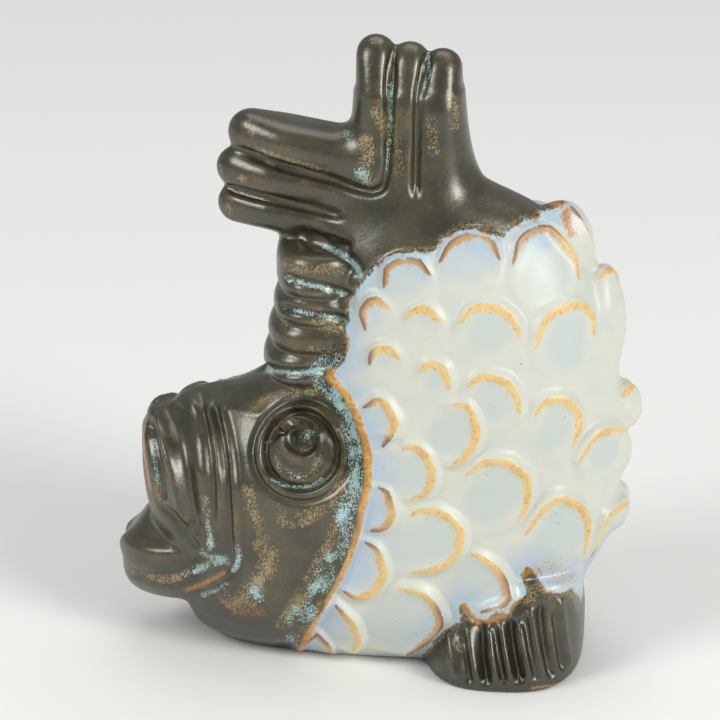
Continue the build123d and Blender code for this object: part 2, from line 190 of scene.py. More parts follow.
RIB_GROOVES_PX = [
    [(300, 238), (326, 247), (341, 254), (352, 261), (361, 276)],
    [(283, 276), (300, 283), (319, 287), (338, 292), (350, 299), (352, 312)],
    [(278, 306), (296, 311), (318, 315), (338, 318), (349, 326)],
    [(258, 362), (270, 371), (290, 373), (304, 373), (320, 368), (336, 371)],
]
FOOT_GROOVES_PX = [
    [(480, 618), (482, 650), (487, 687)], [(510, 616), (513, 640), (521, 685)],
    [(540, 600), (543, 628), (548, 655), (553, 680)],
]
FOOT_FLUTES_PX = [
    [(463, 635), (466, 660), (471, 685)], [(495, 622), (498, 650), (505, 686)],
    [(525, 612), (529, 640), (537, 682)], [(554, 608), (558, 632), (563, 672)],
]
FOOT_RIDGES_PX = [
    [(449, 630), (452, 652), (459, 680)], [(467, 620), (471, 650), (477, 684)],
    [(489, 624), (492, 650), (497, 686)], [(499, 620), (504, 650), (511, 684)],
    [(519, 622), (523, 645), (530, 680)], [(529, 606), (534, 640), (540, 678)],
    [(559, 594), (563, 630), (569, 668)],
]
# Relief lines: pixels, height (a groove is below zero) and half-width in millimetres
RELIEF_LINES = [
    (LIP_TROUGH_PX, -2.0, 1.3), (RIDGE_A_PX, 1.8, 1.2), (VALLEY_A_PX, -1.8, 2.0), (BULGE_PX, 0.6, 2.4),
    (VALLEY_B_PX, -0.9, 0.9), (RIDGE_B_PX, 1.2, 0.9), (VALLEY_C_PX, -0.6, 0.7), (RIDGE_C_PX, 1.2, 0.7),
    (CHEEK_CREASE_PX, -0.4, 1.0), (LIP_CREST_PX, 1.5, 1.9), (LIP_CREASE_PX, -1.3, 1.4),
    (LIP_TOP_PX, -1.2, 1.1), (CREASE_1_PX, -1.5, 0.8), (CREASE_2_PX, -1.4, 0.8), (KNUCKLE_PX, -0.3, 0.9),
    (CREASE_3_PX, -1.2, 0.9), (GROOVE_B_PX, -1.5, 0.8),
]
for lines, height, half_width in (
    (RIB_GROOVES_PX, -1.7, 0.9), (FOOT_GROOVES_PX, -2.0, 0.9), (FOOT_FLUTES_PX, -1.2, 0.8),
    (FOOT_RIDGES_PX, 1.1, 0.9),
):
    RELIEF_LINES += [(line, height, half_width) for line in lines]
# Shares of a relief line's length over which it rises and fades
RELIEF_FADES = (0.15, 0.88)
# The gill line's ridge and the groove in front of it: height, distance from the line and half-width
GILL_RIDGE = (0.8, 0.9, 0.8)
GILL_GROOVE = (-0.5, 4.6, 1.6)

# Free edges of the scales that the photograph shows, in its pixels, by row
SCALES_PX = {
    "scales_gill_row": [
        [(306, 637), (318, 628), (330, 640), (333, 652)],
        [(336, 599), (347, 609), (358, 622), (362, 634), (356, 648)],
        [(365, 539), (375, 543), (385, 558), (387, 575), (380, 587), (368, 596), (353, 596), (343, 590)],
        [(379, 485), (387, 488), (393, 499), (396, 512), (391, 524), (380, 530), (370, 530)],
        [(364, 406), (378, 396), (391, 404), (399, 419), (395, 434), (383, 448)],
        [(369, 364), (371, 352), (380, 345), (393, 347), (401, 358)],
        [(365, 330), (361, 310), (370, 298), (382, 298), (391, 308)],
    ],
    "scales_cheek_row": [
        [(399, 585), (413, 585), (426, 589), (438, 600), (444, 616), (439, 629), (426, 640), (407, 652)],
        [(410, 514), (420, 507), (435, 506), (452, 514), (464, 530), (462, 547), (450, 562), (433, 570),
         (412, 573)],
        [(402, 448), (410, 443), (420, 445), (431, 455), (436, 470), (434, 484), (425, 495), (411, 499)],
        [(418, 372), (423, 365), (433, 360), (444, 364), (450, 377), (450, 390)],
        [(407, 318), (414, 308), (425, 305), (435, 311), (442, 322)],
        [(383, 288), (387, 265), (401, 257), (421, 259), (432, 275)],
    ],
    "scales_flank_row": [
        [(470, 552), (485, 556), (499, 566), (508, 579), (512, 595), (508, 604), (499, 610), (482, 612)],
        [(464, 473), (477, 461), (494, 456), (511, 459), (526, 471), (530, 490), (526, 507), (518, 520)],
        [(452, 402), (465, 401), (477, 415), (480, 429), (475, 446), (465, 459), (452, 465)],
        [(465, 387), (473, 377), (488, 372), (505, 377), (517, 391), (521, 413)],
        [(458, 323), (467, 309), (481, 303), (498, 305), (515, 318), (521, 339)],
        [(438, 263), (446, 246), (462, 234), (479, 231), (493, 240), (501, 261)],
    ],
    "scales_belly_row": [
        [(523, 533), (532, 514), (545, 499), (561, 493), (576, 499), (586, 514), (587, 530), (583, 552)],
        [(533, 415), (538, 402), (551, 396), (568, 398), (578, 410), (579, 427), (572, 446)],
        [(532, 350), (535, 330), (547, 311), (566, 302), (580, 303), (591, 318), (593, 336)],
        [(510, 265), (513, 246), (528, 230), (544, 228), (562, 242), (575, 265), (578, 281)],
    ],
    "scales_rear_row": [
        [(586, 556), (595, 533), (602, 514), (614, 503), (624, 499)],
        [(576, 459), (583, 442), (595, 429), (610, 425), (624, 427)],
    ],
    "scales_rear_edge": [
        [(541, 210), (552, 202), (564, 203), (576, 214), (587, 240), (593, 269)],
        [(596, 280), (603, 271), (612, 271), (617, 283)],
        [(618, 398), (626, 386), (633, 383), (636, 392)],
    ],
}

# The gill line in the side view, in millimetres, and the white glaze's border in the photograph: over
# the tail, and over the fin foot
GILL_LINE = [
    (-18.5, -6), (-18.0, 3), (-9.7, 23.1), (-4.1, 37.4), (0.1, 49.1), (1.8, 60.2), (0, 70.6),
    (-3.9, 77.4), (-7.2, 81), (-7.6, 84),
]
# The head's outline from there: along the crease below the lowest rib, and round in front
HEAD_OUTLINE = [(-14, 81.5), (-24, 79), (-32, 76.5), (-80, 90), (-80, -6)]
TOP_BORDER_PX = [
    (337, 368), (344, 362), (348, 350), (347, 338), (346, 328), (350, 319), (348, 306), (352, 297),
    (357, 293), (362, 283), (371, 275), (376, 268), (383, 261), (389, 256), (397, 253), (412, 251),
    (426, 254), (435, 252), (438, 245), (444, 238), (457, 230), (471, 227), (485, 229), (497, 235),
    (503, 239), (506, 234), (514, 226), (524, 221), (538, 216), (543, 212),
]
FOOT_BORDER_PX = [
    (593, 562), (588, 574), (583, 590), (578, 596), (571, 588), (556, 593), (545, 591), (540, 578),
    (533, 571), (527, 566), (523, 578), (525, 597), (514, 602), (509, 611), (496, 612), (484, 620),
    (474, 616), (465, 604), (459, 606), (460, 622), (444, 630), (433, 641), (422, 655),
]
# Where that border goes round behind and below the figure, in the side view
REAR_CORNERS = [(58, 127), (85, 127), (85, 25)]
FRONT_CORNER = (13.5, -6)

# Breaks in the dark glaze, as strokes: pixels, width in pixels and strength
TAN_STROKES = [
    ([(246, 423), (252, 410), (261, 402), (278, 396), (300, 391), (321, 392)], 7, 0.55),
    ([(249, 491), (253, 505)], 9, 0.75), ([(255, 510), (260, 525), (266, 545)], 8, 0.55),
    ([(263, 545), (270, 560), (264, 575), (252, 590), (238, 604), (226, 598)], 13, 0.62),
    ([(280, 508), (283, 522), (292, 524)], 7, 0.5),
    ([(303, 519), (318, 511), (333, 500), (343, 488)], 9, 0.75),
    ([(340, 505), (338, 522), (332, 540)], 8, 0.55), ([(331, 545), (321, 562), (310, 582)], 9, 0.6),
    ([(303, 596), (293, 612), (283, 625)], 11, 0.65), ([(204, 498), (208, 520), (212, 545)], 5, 0.7),
    ([(156, 480), (158, 497)], 5, 0.8),
    ([(150, 577), (168, 579), (186, 574), (203, 567), (220, 560)], 5, 0.8),
    ([(276, 459), (283, 470), (300, 477), (312, 474), (319, 459)], 4, 0.8),
    ([(303, 438), (311, 431)], 6, 0.55), ([(366, 141), (368, 158), (362, 171), (367, 180)], 9, 0.72),
    ([(376, 112), (384, 127), (388, 140)], 8, 0.5), ([(250, 122), (252, 130)], 7, 0.6),
    ([(252, 146), (268, 154), (290, 161), (325, 171)], 5, 0.6), ([(242, 178), (243, 179)], 5, 0.8),
    ([(228, 208), (230, 212)], 6, 0.6), ([(374, 41), (379, 41)], 5, 0.75),
    ([(394, 130), (398, 170)], 10, 0.3), ([(432, 120), (434, 150)], 8, 0.45),
    ([(452, 100), (455, 125)], 9, 0.5), ([(286, 262), (305, 269), (325, 270), (343, 270)], 7, 0.6),
    ([(318, 270), (340, 269)], 6, 0.7), ([(290, 275), (310, 283)], 3, 0.7),
    ([(282, 318), (286, 325)], 7, 0.6), ([(318, 323), (335, 327)], 9, 0.65),
    ([(302, 310), (320, 311)], 4, 0.7), ([(310, 349), (335, 352)], 6, 0.35),
    ([(222, 178), (221, 168)], 5, 0.45), ([(456, 642), (460, 648)], 6, 0.5),
    ([(528, 600), (545, 578), (570, 574), (580, 560)], 9, 0.5), ([(126, 565), (134, 573)], 5, 0.5),
    ([(300, 640), (314, 616), (330, 590)], 7, 0.45),
]
TURQUOISE_STROKES = [
    ([(361, 172), (364, 176)], 7, 0.85), ([(391, 84), (391, 123), (389, 150), (386, 172)], 2.2, 0.85),
    ([(344, 132), (350, 137)], 5, 0.6), ([(428, 54), (430, 70), (424, 90)], 3, 0.45),
    ([(326, 247), (341, 254), (352, 261), (361, 276), (364, 292)], 3.4, 1.0),
    ([(287, 278), (300, 283), (319, 287), (338, 292), (350, 299), (352, 310)], 3.0, 1.0),
    ([(296, 311), (318, 315), (338, 318), (349, 324)], 3.0, 1.0),
    ([(258, 362), (270, 371), (290, 373), (304, 373), (320, 368), (334, 371), (346, 384)], 3.2, 1.0),
    ([(326, 382), (338, 392), (344, 404)], 5, 0.7),
    ([(344, 404), (350, 420), (356, 440), (358, 458)], 9, 0.9),
    ([(358, 455), (357, 475), (352, 490)], 8, 0.75), ([(345, 500), (339, 515)], 7, 0.6),
    ([(330, 556), (322, 572), (312, 590)], 6, 0.7), ([(296, 608), (288, 622)], 5, 0.5),
    ([(152, 440), (155, 462), (158, 482)], 3, 0.6), ([(207, 522), (210, 538), (210, 548)], 4, 0.65),
    ([(205, 553), (216, 559), (226, 560)], 6, 0.85), ([(218, 562), (200, 569), (184, 574)], 4, 0.7),
    ([(237, 547), (239, 560), (234, 570)], 4, 0.8), ([(228, 582), (215, 590), (203, 595)], 3, 0.8),
    ([(255, 592), (258, 597)], 8, 0.6), ([(272, 480), (288, 487), (308, 486), (322, 478)], 2.2, 0.75),
    ([(304, 437), (310, 433)], 6, 0.45), ([(285, 470), (300, 477)], 3, 0.5),
    ([(244, 510), (251, 500)], 3, 0.2),
]
ORANGE_STROKES = [
    ([(142, 419), (144, 448), (147, 470), (150, 487)], 5, 0.9),
    ([(186, 590), (208, 582), (225, 573)], 6, 0.55),
    ([(235, 612), (262, 612), (245, 600)], 12, 0.35), ([(302, 648), (312, 630)], 7, 0.5),
    ([(278, 640), (300, 646)], 8, 0.3), ([(262, 381), (300, 381), (322, 376)], 3, 0.3),
    ([(552, 203), (563, 206), (567, 222), (571, 234)], 7, 0.75), ([(606, 270), (613, 271)], 5, 0.4),
    ([(527, 573), (533, 568), (540, 574)], 6, 0.7), ([(463, 606), (470, 614), (478, 621)], 6, 0.9),
    ([(482, 620), (500, 617), (513, 603)], 6, 0.8), ([(350, 346), (336, 348)], 5, 0.3),
    ([(532, 688), (560, 684), (572, 676)], 3, 0.6), ([(349, 305), (345, 300)], 4, 0.5),
    ([(548, 564), (560, 574), (574, 580)], 22, 0.34), ([(556, 582), (574, 586)], 8, 0.35),
]
STROKES = {"tan": TAN_STROKES, "turquoise": TURQUOISE_STROKES, "orange": ORANGE_STROKES}

# Eye: middles of its circles in the photograph, and radii in millimetres
EYE_PX = (301.6, 450.6)
EYE_BALL_PX = (300.5, 448.5)
EYE_CRESCENT_PX = (301.4, 444.6)
EYE_PUPIL_PX = (304.6, 438)
EYE_REACH = 18
EYE_RADIUS = 12.9
EYE_GROOVE_RADIUS = 9.7
EYE_BALL_RADIUS = 8.7
EYE_CRESCENT_RADIUS = 7.0
EYE_PUPIL_RADIUS = 5.9
# Its rolls and grooves: height, radius and half-width
EYE_RINGS = [(1.0, 11.2, 0.9), (-0.8, 13.2, 0.6), (-1.2, EYE_GROOVE_RADIUS, 0.55)]
PUPIL_RING = (1.1, EYE_PUPIL_RADIUS - 0.5, 0.7)

# A scale: least height, what its width adds to that, the roll's share of the height, and how far it
# reaches behind its free edge as a share of its width
SCALE_HEIGHT = 0.7
SCALE_HEIGHT_SHARE = 0.065
SCALE_ROLL_SHARE = 0.38
SCALE_DEPTH_SHARE = 0.55


def smooth_step(low, high, value):
    """0 below low, 1 above high, and smooth between them."""
    t = np.clip((value - low) / (high - low), 0.0, 1.0)
    return t * t * (3 - 2 * t)


def ridge(distance, height, middle, half_width):
    """A rounded ridge, or a groove where the height is below zero, about a distance."""
    return height * np.exp(-((distance - middle) ** 2) / (2 * half_width**2))


def curve(xs, ys, at):
    """Smooth curve through points that doesn't overshoot them."""
    xs, ys = np.asarray(xs, float), np.asarray(ys, float)
    step = np.diff(ys) / np.diff(xs)
    slope = np.zeros(len(xs))
    slope[0], slope[-1] = step[0], step[-1]
    product, total = step[1:] * step[:-1], step[1:] + step[:-1]
    slope[1:-1] = np.where(product > 0, 2 * product / np.where(product > 0, total, 1.0), 0.0)
    i = np.clip(np.searchsorted(xs, at) - 1, 0, len(xs) - 2)
    h = xs[i + 1] - xs[i]
    t = np.clip((at - xs[i]) / h, 0, 1)
    rise = h * ((t**3 - 2 * t**2 + t) * slope[i] + (t**3 - t**2) * slope[i + 1])
    return (1 - 3 * t**2 + 2 * t**3) * ys[i] + (3 * t**2 - 2 * t**3) * ys[i + 1] + rise


def soft_min(a, b, width):
    """Union of two fields with a fillet about as wide as width."""
    mix = np.clip(0.5 + 0.5 * (b - a) / width, 0, 1)
    return b + (a - b) * mix - width * mix * (1 - mix)


def soft_max(a, b, width):
    """Cut of one field by another, with its edge rounded."""
    return -soft_min(-a, -b, width)


class Field:
    """A distance field on the near half of the figure's box, y from the middle plane outward."""

    def __init__(self, low, high):
        size = [int(math.ceil((high[a] - low[a]) / VOXEL)) + 1 for a in range(3)]
        self.x = low[0] + VOXEL * np.arange(size[0])
        self.y = -VOXEL * np.arange(size[1])
        self.z = low[2] + VOXEL * np.arange(size[2])
        self.value = np.full(size, FAR_AWAY, np.float32)
        self.owner = np.zeros(size, np.int8)
        self.nearest = np.full(size, FAR_AWAY, np.float32)

    def window(self, low, high):
        """Slices and coordinates of the part of the grid between two corners."""
        spans = []
        for line, a in ((self.x, 0), (-self.y, 1), (self.z, 2)):
            first = max(int(np.searchsorted(line, low[a])) - 1, 0)
            last = min(int(np.searchsorted(line, high[a])) + 1, len(line))
            spans.append(slice(first, last))
        x = self.x[spans[0]][:, None, None]
        y = self.y[spans[1]][None, :, None]
        z = self.z[spans[2]][None, None, :]
        return tuple(spans), x, y, z

    def unite(self, spans, distance, width, owner):
        """Adds a shape with a fillet, and notes it where it is the nearest of all shapes."""
        distance = np.broadcast_to(distance, self.value[spans].shape).astype(np.float32)
        closer = distance < self.nearest[spans]
        self.owner[spans] = np.where(closer, owner, self.owner[spans])
        self.nearest[spans] = np.minimum(distance, self.nearest[spans])
        self.value[spans] = soft_min(self.value[spans], distance, width)

    def sample(self, points, grid=None):
        """Value at points of the near side, between the grid's own."""
        grid = self.value if grid is None else grid
        at = np.stack([
            (points[:, 0] - self.x[0]) / VOXEL,
            np.abs(points[:, 1]) / VOXEL,
            (points[:, 2] - self.z[0]) / VOXEL,
        ])
        top = np.array(grid.shape)[:, None] - 1.001
        at = np.clip(at, 0, top)
        i = at.astype(int)
        f = at - i
        total = 0
        for dx in (0, 1):
            for dy in (0, 1):
                for dz in (0, 1):
                    shares = [f[k] if d else 1 - f[k] for k, d in enumerate((dx, dy, dz))]
                    corner = grid[i[0] + dx, i[1] + dy, i[2] + dz]
                    total = total + shares[0] * shares[1] * shares[2] * corner
        return total

    def normal(self, points, reach=0.8, grid=None):
        """Outward directions at points, on either side of the middle plane."""
        step = reach * VOXEL
        parts = []
        for a in range(3):
            ahead, behind = points.copy(), points.copy()
            ahead[:, a] += step
            behind[:, a] -= step
            parts.append(self.sample(ahead, grid) - self.sample(behind, grid))
        n = np.stack(parts, 1)
        return n / np.maximum(np.linalg.norm(n, axis=1, keepdims=True), 1e-9)


def rounded_square(u, v, reach_u, reach_v, power):
    """Size of a place in a rounded square, 1 on its outline, and how fast that grows per millimetre."""
    rho = np.maximum((u**power + v**power) ** (1 / power), 1e-3)
    return rho, np.hypot((u / rho) ** (power - 1) / reach_u, (v / rho) ** (power - 1) / reach_v)


def oval_field(x, y, z, rows, power=OVAL_POWER):
    """Distance to a stack of level ovals, closed above and below by its first and last row."""
    heights = [row[0] for row in rows]
    front, rear, half = (curve(heights, [row[k] for row in rows], z) for k in (1, 2, 3))
    middle, reach = (front + rear) / 2, (rear - front) / 2
    u, v = np.abs(x - middle) / reach, np.abs(y) / half
    rho, slope = rounded_square(u, v, reach, half, power)
    if rho.shape[2] > 2:
        slope = np.hypot(slope, np.gradient(rho, VOXEL, axis=2))
    distance = (rho - 1) / slope
    return np.maximum(distance, np.maximum(heights[0] - z, z - heights[-1]))


def camera_frame():
    """The photograph's camera in millimetres: place, right, up and forward."""
    e, a = math.radians(CAMERA_ELEVATION), math.radians(CAMERA_AZIMUTH)
    back = np.array([math.sin(a) * math.cos(e), -math.cos(a) * math.cos(e), math.sin(e)])
    right = np.array([math.cos(a), math.sin(a), 0.0])
    return np.array(CAMERA_TARGET) + CAMERA_DISTANCE * back, right, np.cross(back, right), -back


def on_surface(field, pixels):
    """Points of the near side that the photograph shows at these pixels."""
    place, right, up, forward = camera_frame()
    pixels = np.asarray(pixels, float)
    centre = PHOTO_SIZE / 2
    rays = forward + right * (pixels[:, :1] - centre) / FOCAL_PX - up * (pixels[:, 1:] - centre) / FOCAL_PX
    rays /= np.linalg.norm(rays, axis=1, keepdims=True)
    lowest = np.full(len(pixels), FAR_AWAY)
    best = np.full(len(pixels), CAMERA_DISTANCE)
    done = np.zeros(len(pixels), bool)
    for step in np.arange(CAMERA_DISTANCE - 90, CAMERA_DISTANCE + 90, 0.25):
        value = field.sample(place + rays * step)
        nearer = ~done & (value < lowest)
        lowest[nearer], best[nearer] = value[nearer], step
        done |= value < 0
    return place + rays * best[:, None]


def dense(points, spacing=0.35):
    """Points along a smooth line through the given ones."""
    points = np.asarray(points, float)
    along = np.concatenate([[0], np.cumsum(np.linalg.norm(np.diff(points, axis=0), axis=1))])
    at = np.linspace(0, along[-1], max(int(along[-1] / spacing), 2) + 1)
    return np.stack([curve(along, points[:, k], at) for k in range(points.shape[1])], 1)


def outline_distance(points, outline):
    """Signed distance of flat points to a closed outline, above zero inside."""
    outline = np.asarray(outline, float)
    least = np.full(len(points), 1e9)
    inside = np.zeros(len(points), bool)
    for a, b in zip(outline, np.roll(outline, -1, axis=0)):
        edge = b - a
        t = np.clip(((points - a) @ edge) / max(edge @ edge, 1e-9), 0, 1)
        gap = points - a - t[:, None] * edge
        least = np.minimum(least, (gap**2).sum(1))
        if a[1] != b[1]:
            spans = (a[1] > points[:, 1]) != (b[1] > points[:, 1])
            inside ^= spans & (points[:, 0] < a[0] + (points[:, 1] - a[1]) / (b[1] - a[1]) * edge[0])
    return np.where(inside, 1, -1) * np.sqrt(least)


def line_distance(points, line):
    """Distance to a polyline, and how far along it the nearest place is, from 0 to 1."""
    least = np.full(len(points), 1e9)
    share = np.zeros(len(points))
    for i in range(len(line) - 1):
        edge = line[i + 1] - line[i]
        t = np.clip(((points - line[i]) @ edge) / max(edge @ edge, 1e-9), 0, 1)
        gap = ((points - line[i] - t[:, None] * edge) ** 2).sum(1)
        closer = gap < least
        least[closer] = gap[closer]
        share[closer] = (i + t[closer]) / (len(line) - 1)
    return np.sqrt(least), share


OWNERS = ["body_shell", "head_shell", "upper_lip", "lower_lip"]
OWNERS += [f"back_rib_{n}" for n in range(1, 5)]
OWNERS += [f"tail_upright_ray_{n}" for n in range(1, 4)]
OWNERS += [f"tail_forward_ray_{n}" for n in range(1, 4)]
OWNERS += [f"foot_ray_{n}" for n in range(1, 5)] + ["scales_rear_edge"]


def add_body(field):
    spans, x, y, z = field.window(*BODY_SPAN)
    field.unite(spans, oval_field(x, y, z, BODY_ROWS), BODY_FILLET, OWNERS.index("body_shell"))


def add_head(field):
    spans, x, y, z = field.window(*HEAD_SPAN)
    flat = np.stack(np.meshgrid(x.ravel(), z.ravel(), indexing="ij"), -1).reshape(-1, 2)
    outline = np.concatenate([dense(GILL_LINE, 2.0), np.array(HEAD_OUTLINE, float)])
    region = -outline_distance(flat, outline).reshape(len(x.ravel()), 1, len(z.ravel()))
    head = soft_max(oval_field(x, y, z, HEAD_ROWS), region, GILL_FILLET)
    slit = ridge(np.abs(y), SLIT_DEPTH, SLIT_SIDE, SLIT_HALF_WIDTH) * smooth_step(*SLIT_TOP, z)
    muzzle = oval_field(x, y, z, MUZZLE_ROWS, MUZZLE_POWER) + slit * smooth_step(*SLIT_REAR, x)
    field.unite(spans, head, HEAD_FILLET, OWNERS.index("head_shell"))
    field.unite(spans, muzzle, MUZZLE_FILLET, OWNERS.index("upper_lip"))
    spans, x, y, z = field.window(*LIP_SPAN)
    lip = oval_field(x, y, z, LIP_ROWS, MUZZLE_POWER)
    field.unite(spans, lip, LIP_FILLET, OWNERS.index("lower_lip"))


def add_ribs(field):
    for number, (bottom, top, front) in enumerate(RIB_ROWS, start=1):
        spans, x, y, z = field.window((front - 6, 0, bottom - 5), (4, 26, top + 5))
        middle, reach = (front + RIB_REAR) / 2, (RIB_REAR - front) / 2
        u, v = np.abs(x - middle) / reach, np.abs(y) / RIB_HALF_WIDTH
        rho, slope = rounded_square(u, v, reach, RIB_HALF_WIDTH, ROUND_POWER)
        across = (rho - 1) / slope + RIB_ROUND
        upward = np.abs(z - (bottom + top) / 2) - ((top - bottom) / 2 - RIB_ROUND)
        out = np.hypot(np.maximum(across, 0), np.maximum(upward, 0))
        rib = out + np.minimum(np.maximum(across, upward), 0) - RIB_ROUND
        field.unite(spans, rib, RIB_FILLET, OWNERS.index(f"back_rib_{number}"))


def ray_field(x, y, z, root, tip, root_radius, tip_radius):
    """A round-ended tail ray, deeper than it is wide."""
    length = math.hypot(tip[0] - root[0], tip[1] - root[1])
    ux, uz = (tip[0] - root[0]) / length, (tip[1] - root[1]) / length
    along = (x - root[0]) * ux + (z - root[1]) * uz
    across = np.abs((z - root[1]) * ux - (x - root[0]) * uz)
    radius = root_radius + (tip_radius - root_radius) * np.clip(along / length, 0, 1)
    past = np.maximum(along - length, 0)
    thin = np.clip((along - length + RAY_THIN) / (RAY_THIN + tip_radius), 0, 1)
    half_depth = RAY_HALF_DEPTH * (1 - RAY_THIN_SHARE * thin**1.2)
    side, deep = np.hypot(across, past) / radius, np.abs(y) / half_depth
    rho, slope = rounded_square(side, deep, radius, half_depth, ROUND_POWER)
    return np.maximum((rho - 1) / slope, -along)


def add_tail(field):
    spans, x, y, z = field.window(*TAIL_SPAN)
    for name, rays in (("upright", UPRIGHT_RAYS), ("forward", FORWARD_RAYS)):
        lobe = None
        for number, ray in enumerate(rays, start=1):
            distance = ray_field(x, y, z, *ray)
            owner = OWNERS.index(f"tail_{name}_ray_{number}")
            shape = field.nearest[spans].shape
            closer = np.broadcast_to(distance, shape) < field.nearest[spans]
            field.owner[spans] = np.where(closer, np.int8(owner), field.owner[spans])
            field.nearest[spans] = np.minimum(distance, field.nearest[spans])
            lobe = distance if lobe is None else soft_min(lobe, distance, RAY_FILLET)
        field.value[spans] = soft_min(field.value[spans], lobe.astype(np.float32), TAIL_FILLET)


def add_feet(field):
    spans, x, y, z = field.window(*FOOT_SPAN)
    ray = np.clip(np.floor((x - FOOT_START + FOOT_LEAN * z) / FOOT_PITCH), 0, 3) + 0 * y
    owner = OWNERS.index("foot_ray_1") + ray
    field.unite(spans, oval_field(x, y, z, FOOT_ROWS, FOOT_POWER), FOOT_FILLET, owner)


def add_rear_edge(field):
    for (middle_x, middle_z), radii in REAR_EDGE:
        spans, x, y, z = field.window(
            (middle_x - 16, 0, middle_z - 18), (middle_x + 16, 16, middle_z + 18)
        )
        u, v, w = (x - middle_x) / radii[0], y / radii[1], (z - middle_z) / radii[2]
        rho = np.maximum(np.sqrt(u**2 + v**2 + w**2), 1e-3)
        slope = np.sqrt((u / radii[0]) ** 2 + (v / radii[1]) ** 2 + (w / radii[2]) ** 2) / rho
        distance = (rho - 1) / np.maximum(slope, 1e-3)
        field.unite(spans, distance, REAR_FILLET, OWNERS.index("scales_rear_edge"))


def near_surface(field, depth=4.0):
    """Grid places close to the surface, as indices and points."""
    places = np.argwhere(np.abs(field.value) < depth)
    points = np.stack([field.x[places[:, 0]], field.y[places[:, 1]], field.z[places[:, 2]]], 1)
    return places, points


def carve_lines(field, points):
    """Ridges and grooves along lines of the photograph."""
    lift = np.zeros(len(points))
    for pixels, height, half_width in RELIEF_LINES:
        line = dense(on_surface(field, dense(pixels, 12)), 1.5)
        near = np.all((points > line.min(0) - 5) & (points < line.max(0) + 5), axis=1)
        distance, share = line_distance(points[near], line)
        fade = smooth_step(0, RELIEF_FADES[0], share) * smooth_step(1, RELIEF_FADES[1], share)
        lift[near] += fade * ridge(distance, height, 0, half_width)
    return lift


def eye_parts(field):
    """Middle and outward direction of the eye, and the middles of its inner circles."""
    middles = on_surface(field, [EYE_PX, EYE_BALL_PX, EYE_CRESCENT_PX, EYE_PUPIL_PX])
    outward = field.normal(middles[:1], 12)[0]
    return middles, outward


def radius_about(points, middle, outward):
    """Distance to the line through a middle along a direction."""
    gap = points - middle
    flat = gap - (gap @ outward)[:, None] * outward
    return np.linalg.norm(flat, axis=1)


def carve_eye(points, middles, outward):
    """Rings of the eye: an outer roll, grooves, a domed ball and a dished pupil."""
    lift = np.zeros(len(points))
    near = np.linalg.norm(points - middles[0], axis=1) < EYE_REACH
    p = points[near]
    r, ball, crescent, pupil = (radius_about(p, m, outward) for m in middles)
    rise = ridge(pupil, *PUPIL_RING) + sum(ridge(r, *ring) for ring in EYE_RINGS)
    rise += 0.7 * smooth_step(EYE_BALL_RADIUS + 0.6, EYE_BALL_RADIUS - 0.7, ball)
    rise += 0.5 * np.clip(1 - (ball / EYE_BALL_RADIUS) ** 2, 0, 1)
    rise += 0.7 * smooth_step(EYE_CRESCENT_RADIUS + 0.5, EYE_CRESCENT_RADIUS - 0.5, crescent)
    rise -= 0.9 * smooth_step(EYE_PUPIL_RADIUS - 0.6, EYE_PUPIL_RADIUS - 2.8, pupil)
    lift[near] = rise
    return lift


def scale_shapes(field):
    """Each scale's flat frame and closed outline, from the free edge in the photograph."""
    shapes = []
    for row, edges in SCALES_PX.items():
        for pixels in edges:
            rim = on_surface(field, pixels)
            outward = field.normal(rim, 6).mean(0)
            outward /= np.linalg.norm(outward)
            chord = rim[-1] - rim[0]
            middle = (rim[0] + rim[-1]) / 2
            swing = rim - middle
            bulge = swing - np.outer(swing @ chord, chord) / (chord @ chord)
            tipward = bulge[np.argmax(np.linalg.norm(bulge, axis=1))]
            tipward = tipward - (tipward @ outward) * outward
            tipward /= np.linalg.norm(tipward)
            side = np.cross(outward, tipward)
            flat = np.stack([(rim - middle) @ tipward, (rim - middle) @ side], 1)
            edge = dense(flat, 0.6)
            width = np.ptp(edge[:, 1])
            depth = SCALE_DEPTH_SHARE * width
            swing_angle = np.linspace(0, math.pi, 9)[1:-1]
            back = np.stack([
                np.linspace(edge[-1, 0], edge[0, 0], 7) - depth * np.sin(swing_angle),
                (edge[-1, 1] + edge[0, 1]) / 2 + (edge[-1, 1] - edge[0, 1]) / 2 * np.cos(swing_angle),
            ], 1)
            shapes.append({
                "row": row, "middle": middle, "outward": outward, "tipward": tipward, "side": side,
                "edge": edge, "outline": np.concatenate([edge, back]), "width": width,
                "low": flat[:, 0].min() - depth, "high": flat[:, 0].max(),
                "reach": 0.75 * width + 6,
            })
    return shapes


def scale_lift(points, shape):
    """Height of one scale, how far inside its edge a point is, and its distance to the free edge."""
    gap = points - shape["middle"]
    flat = np.stack([gap @ shape["tipward"], gap @ shape["side"]], 1)
    inside = outline_distance(flat, shape["outline"])
    free, share = line_distance(flat, shape["edge"])
    along = np.clip((flat[:, 0] - shape["low"]) / (shape["high"] - shape["low"]), 0, 1)
    most = SCALE_HEIGHT + SCALE_HEIGHT_SHARE * shape["width"]
    plateau = most * (0.08 + 0.62 * along**1.4)
    roll = ridge(inside, SCALE_ROLL_SHARE * most, 0.7, 1.2) * smooth_step(0.3, 0.75, along)
    drop = smooth_step(-2.3, 0.1, inside)
    deep = np.abs(gap @ shape["outward"]) < 0.6 * shape["width"] + 4
    ends = np.sqrt(np.sin(math.pi * np.clip(share, 0.001, 0.999)))
    return np.where(deep, (plateau + roll) * drop, 0), np.where(deep, inside, -FAR_AWAY), free, ends


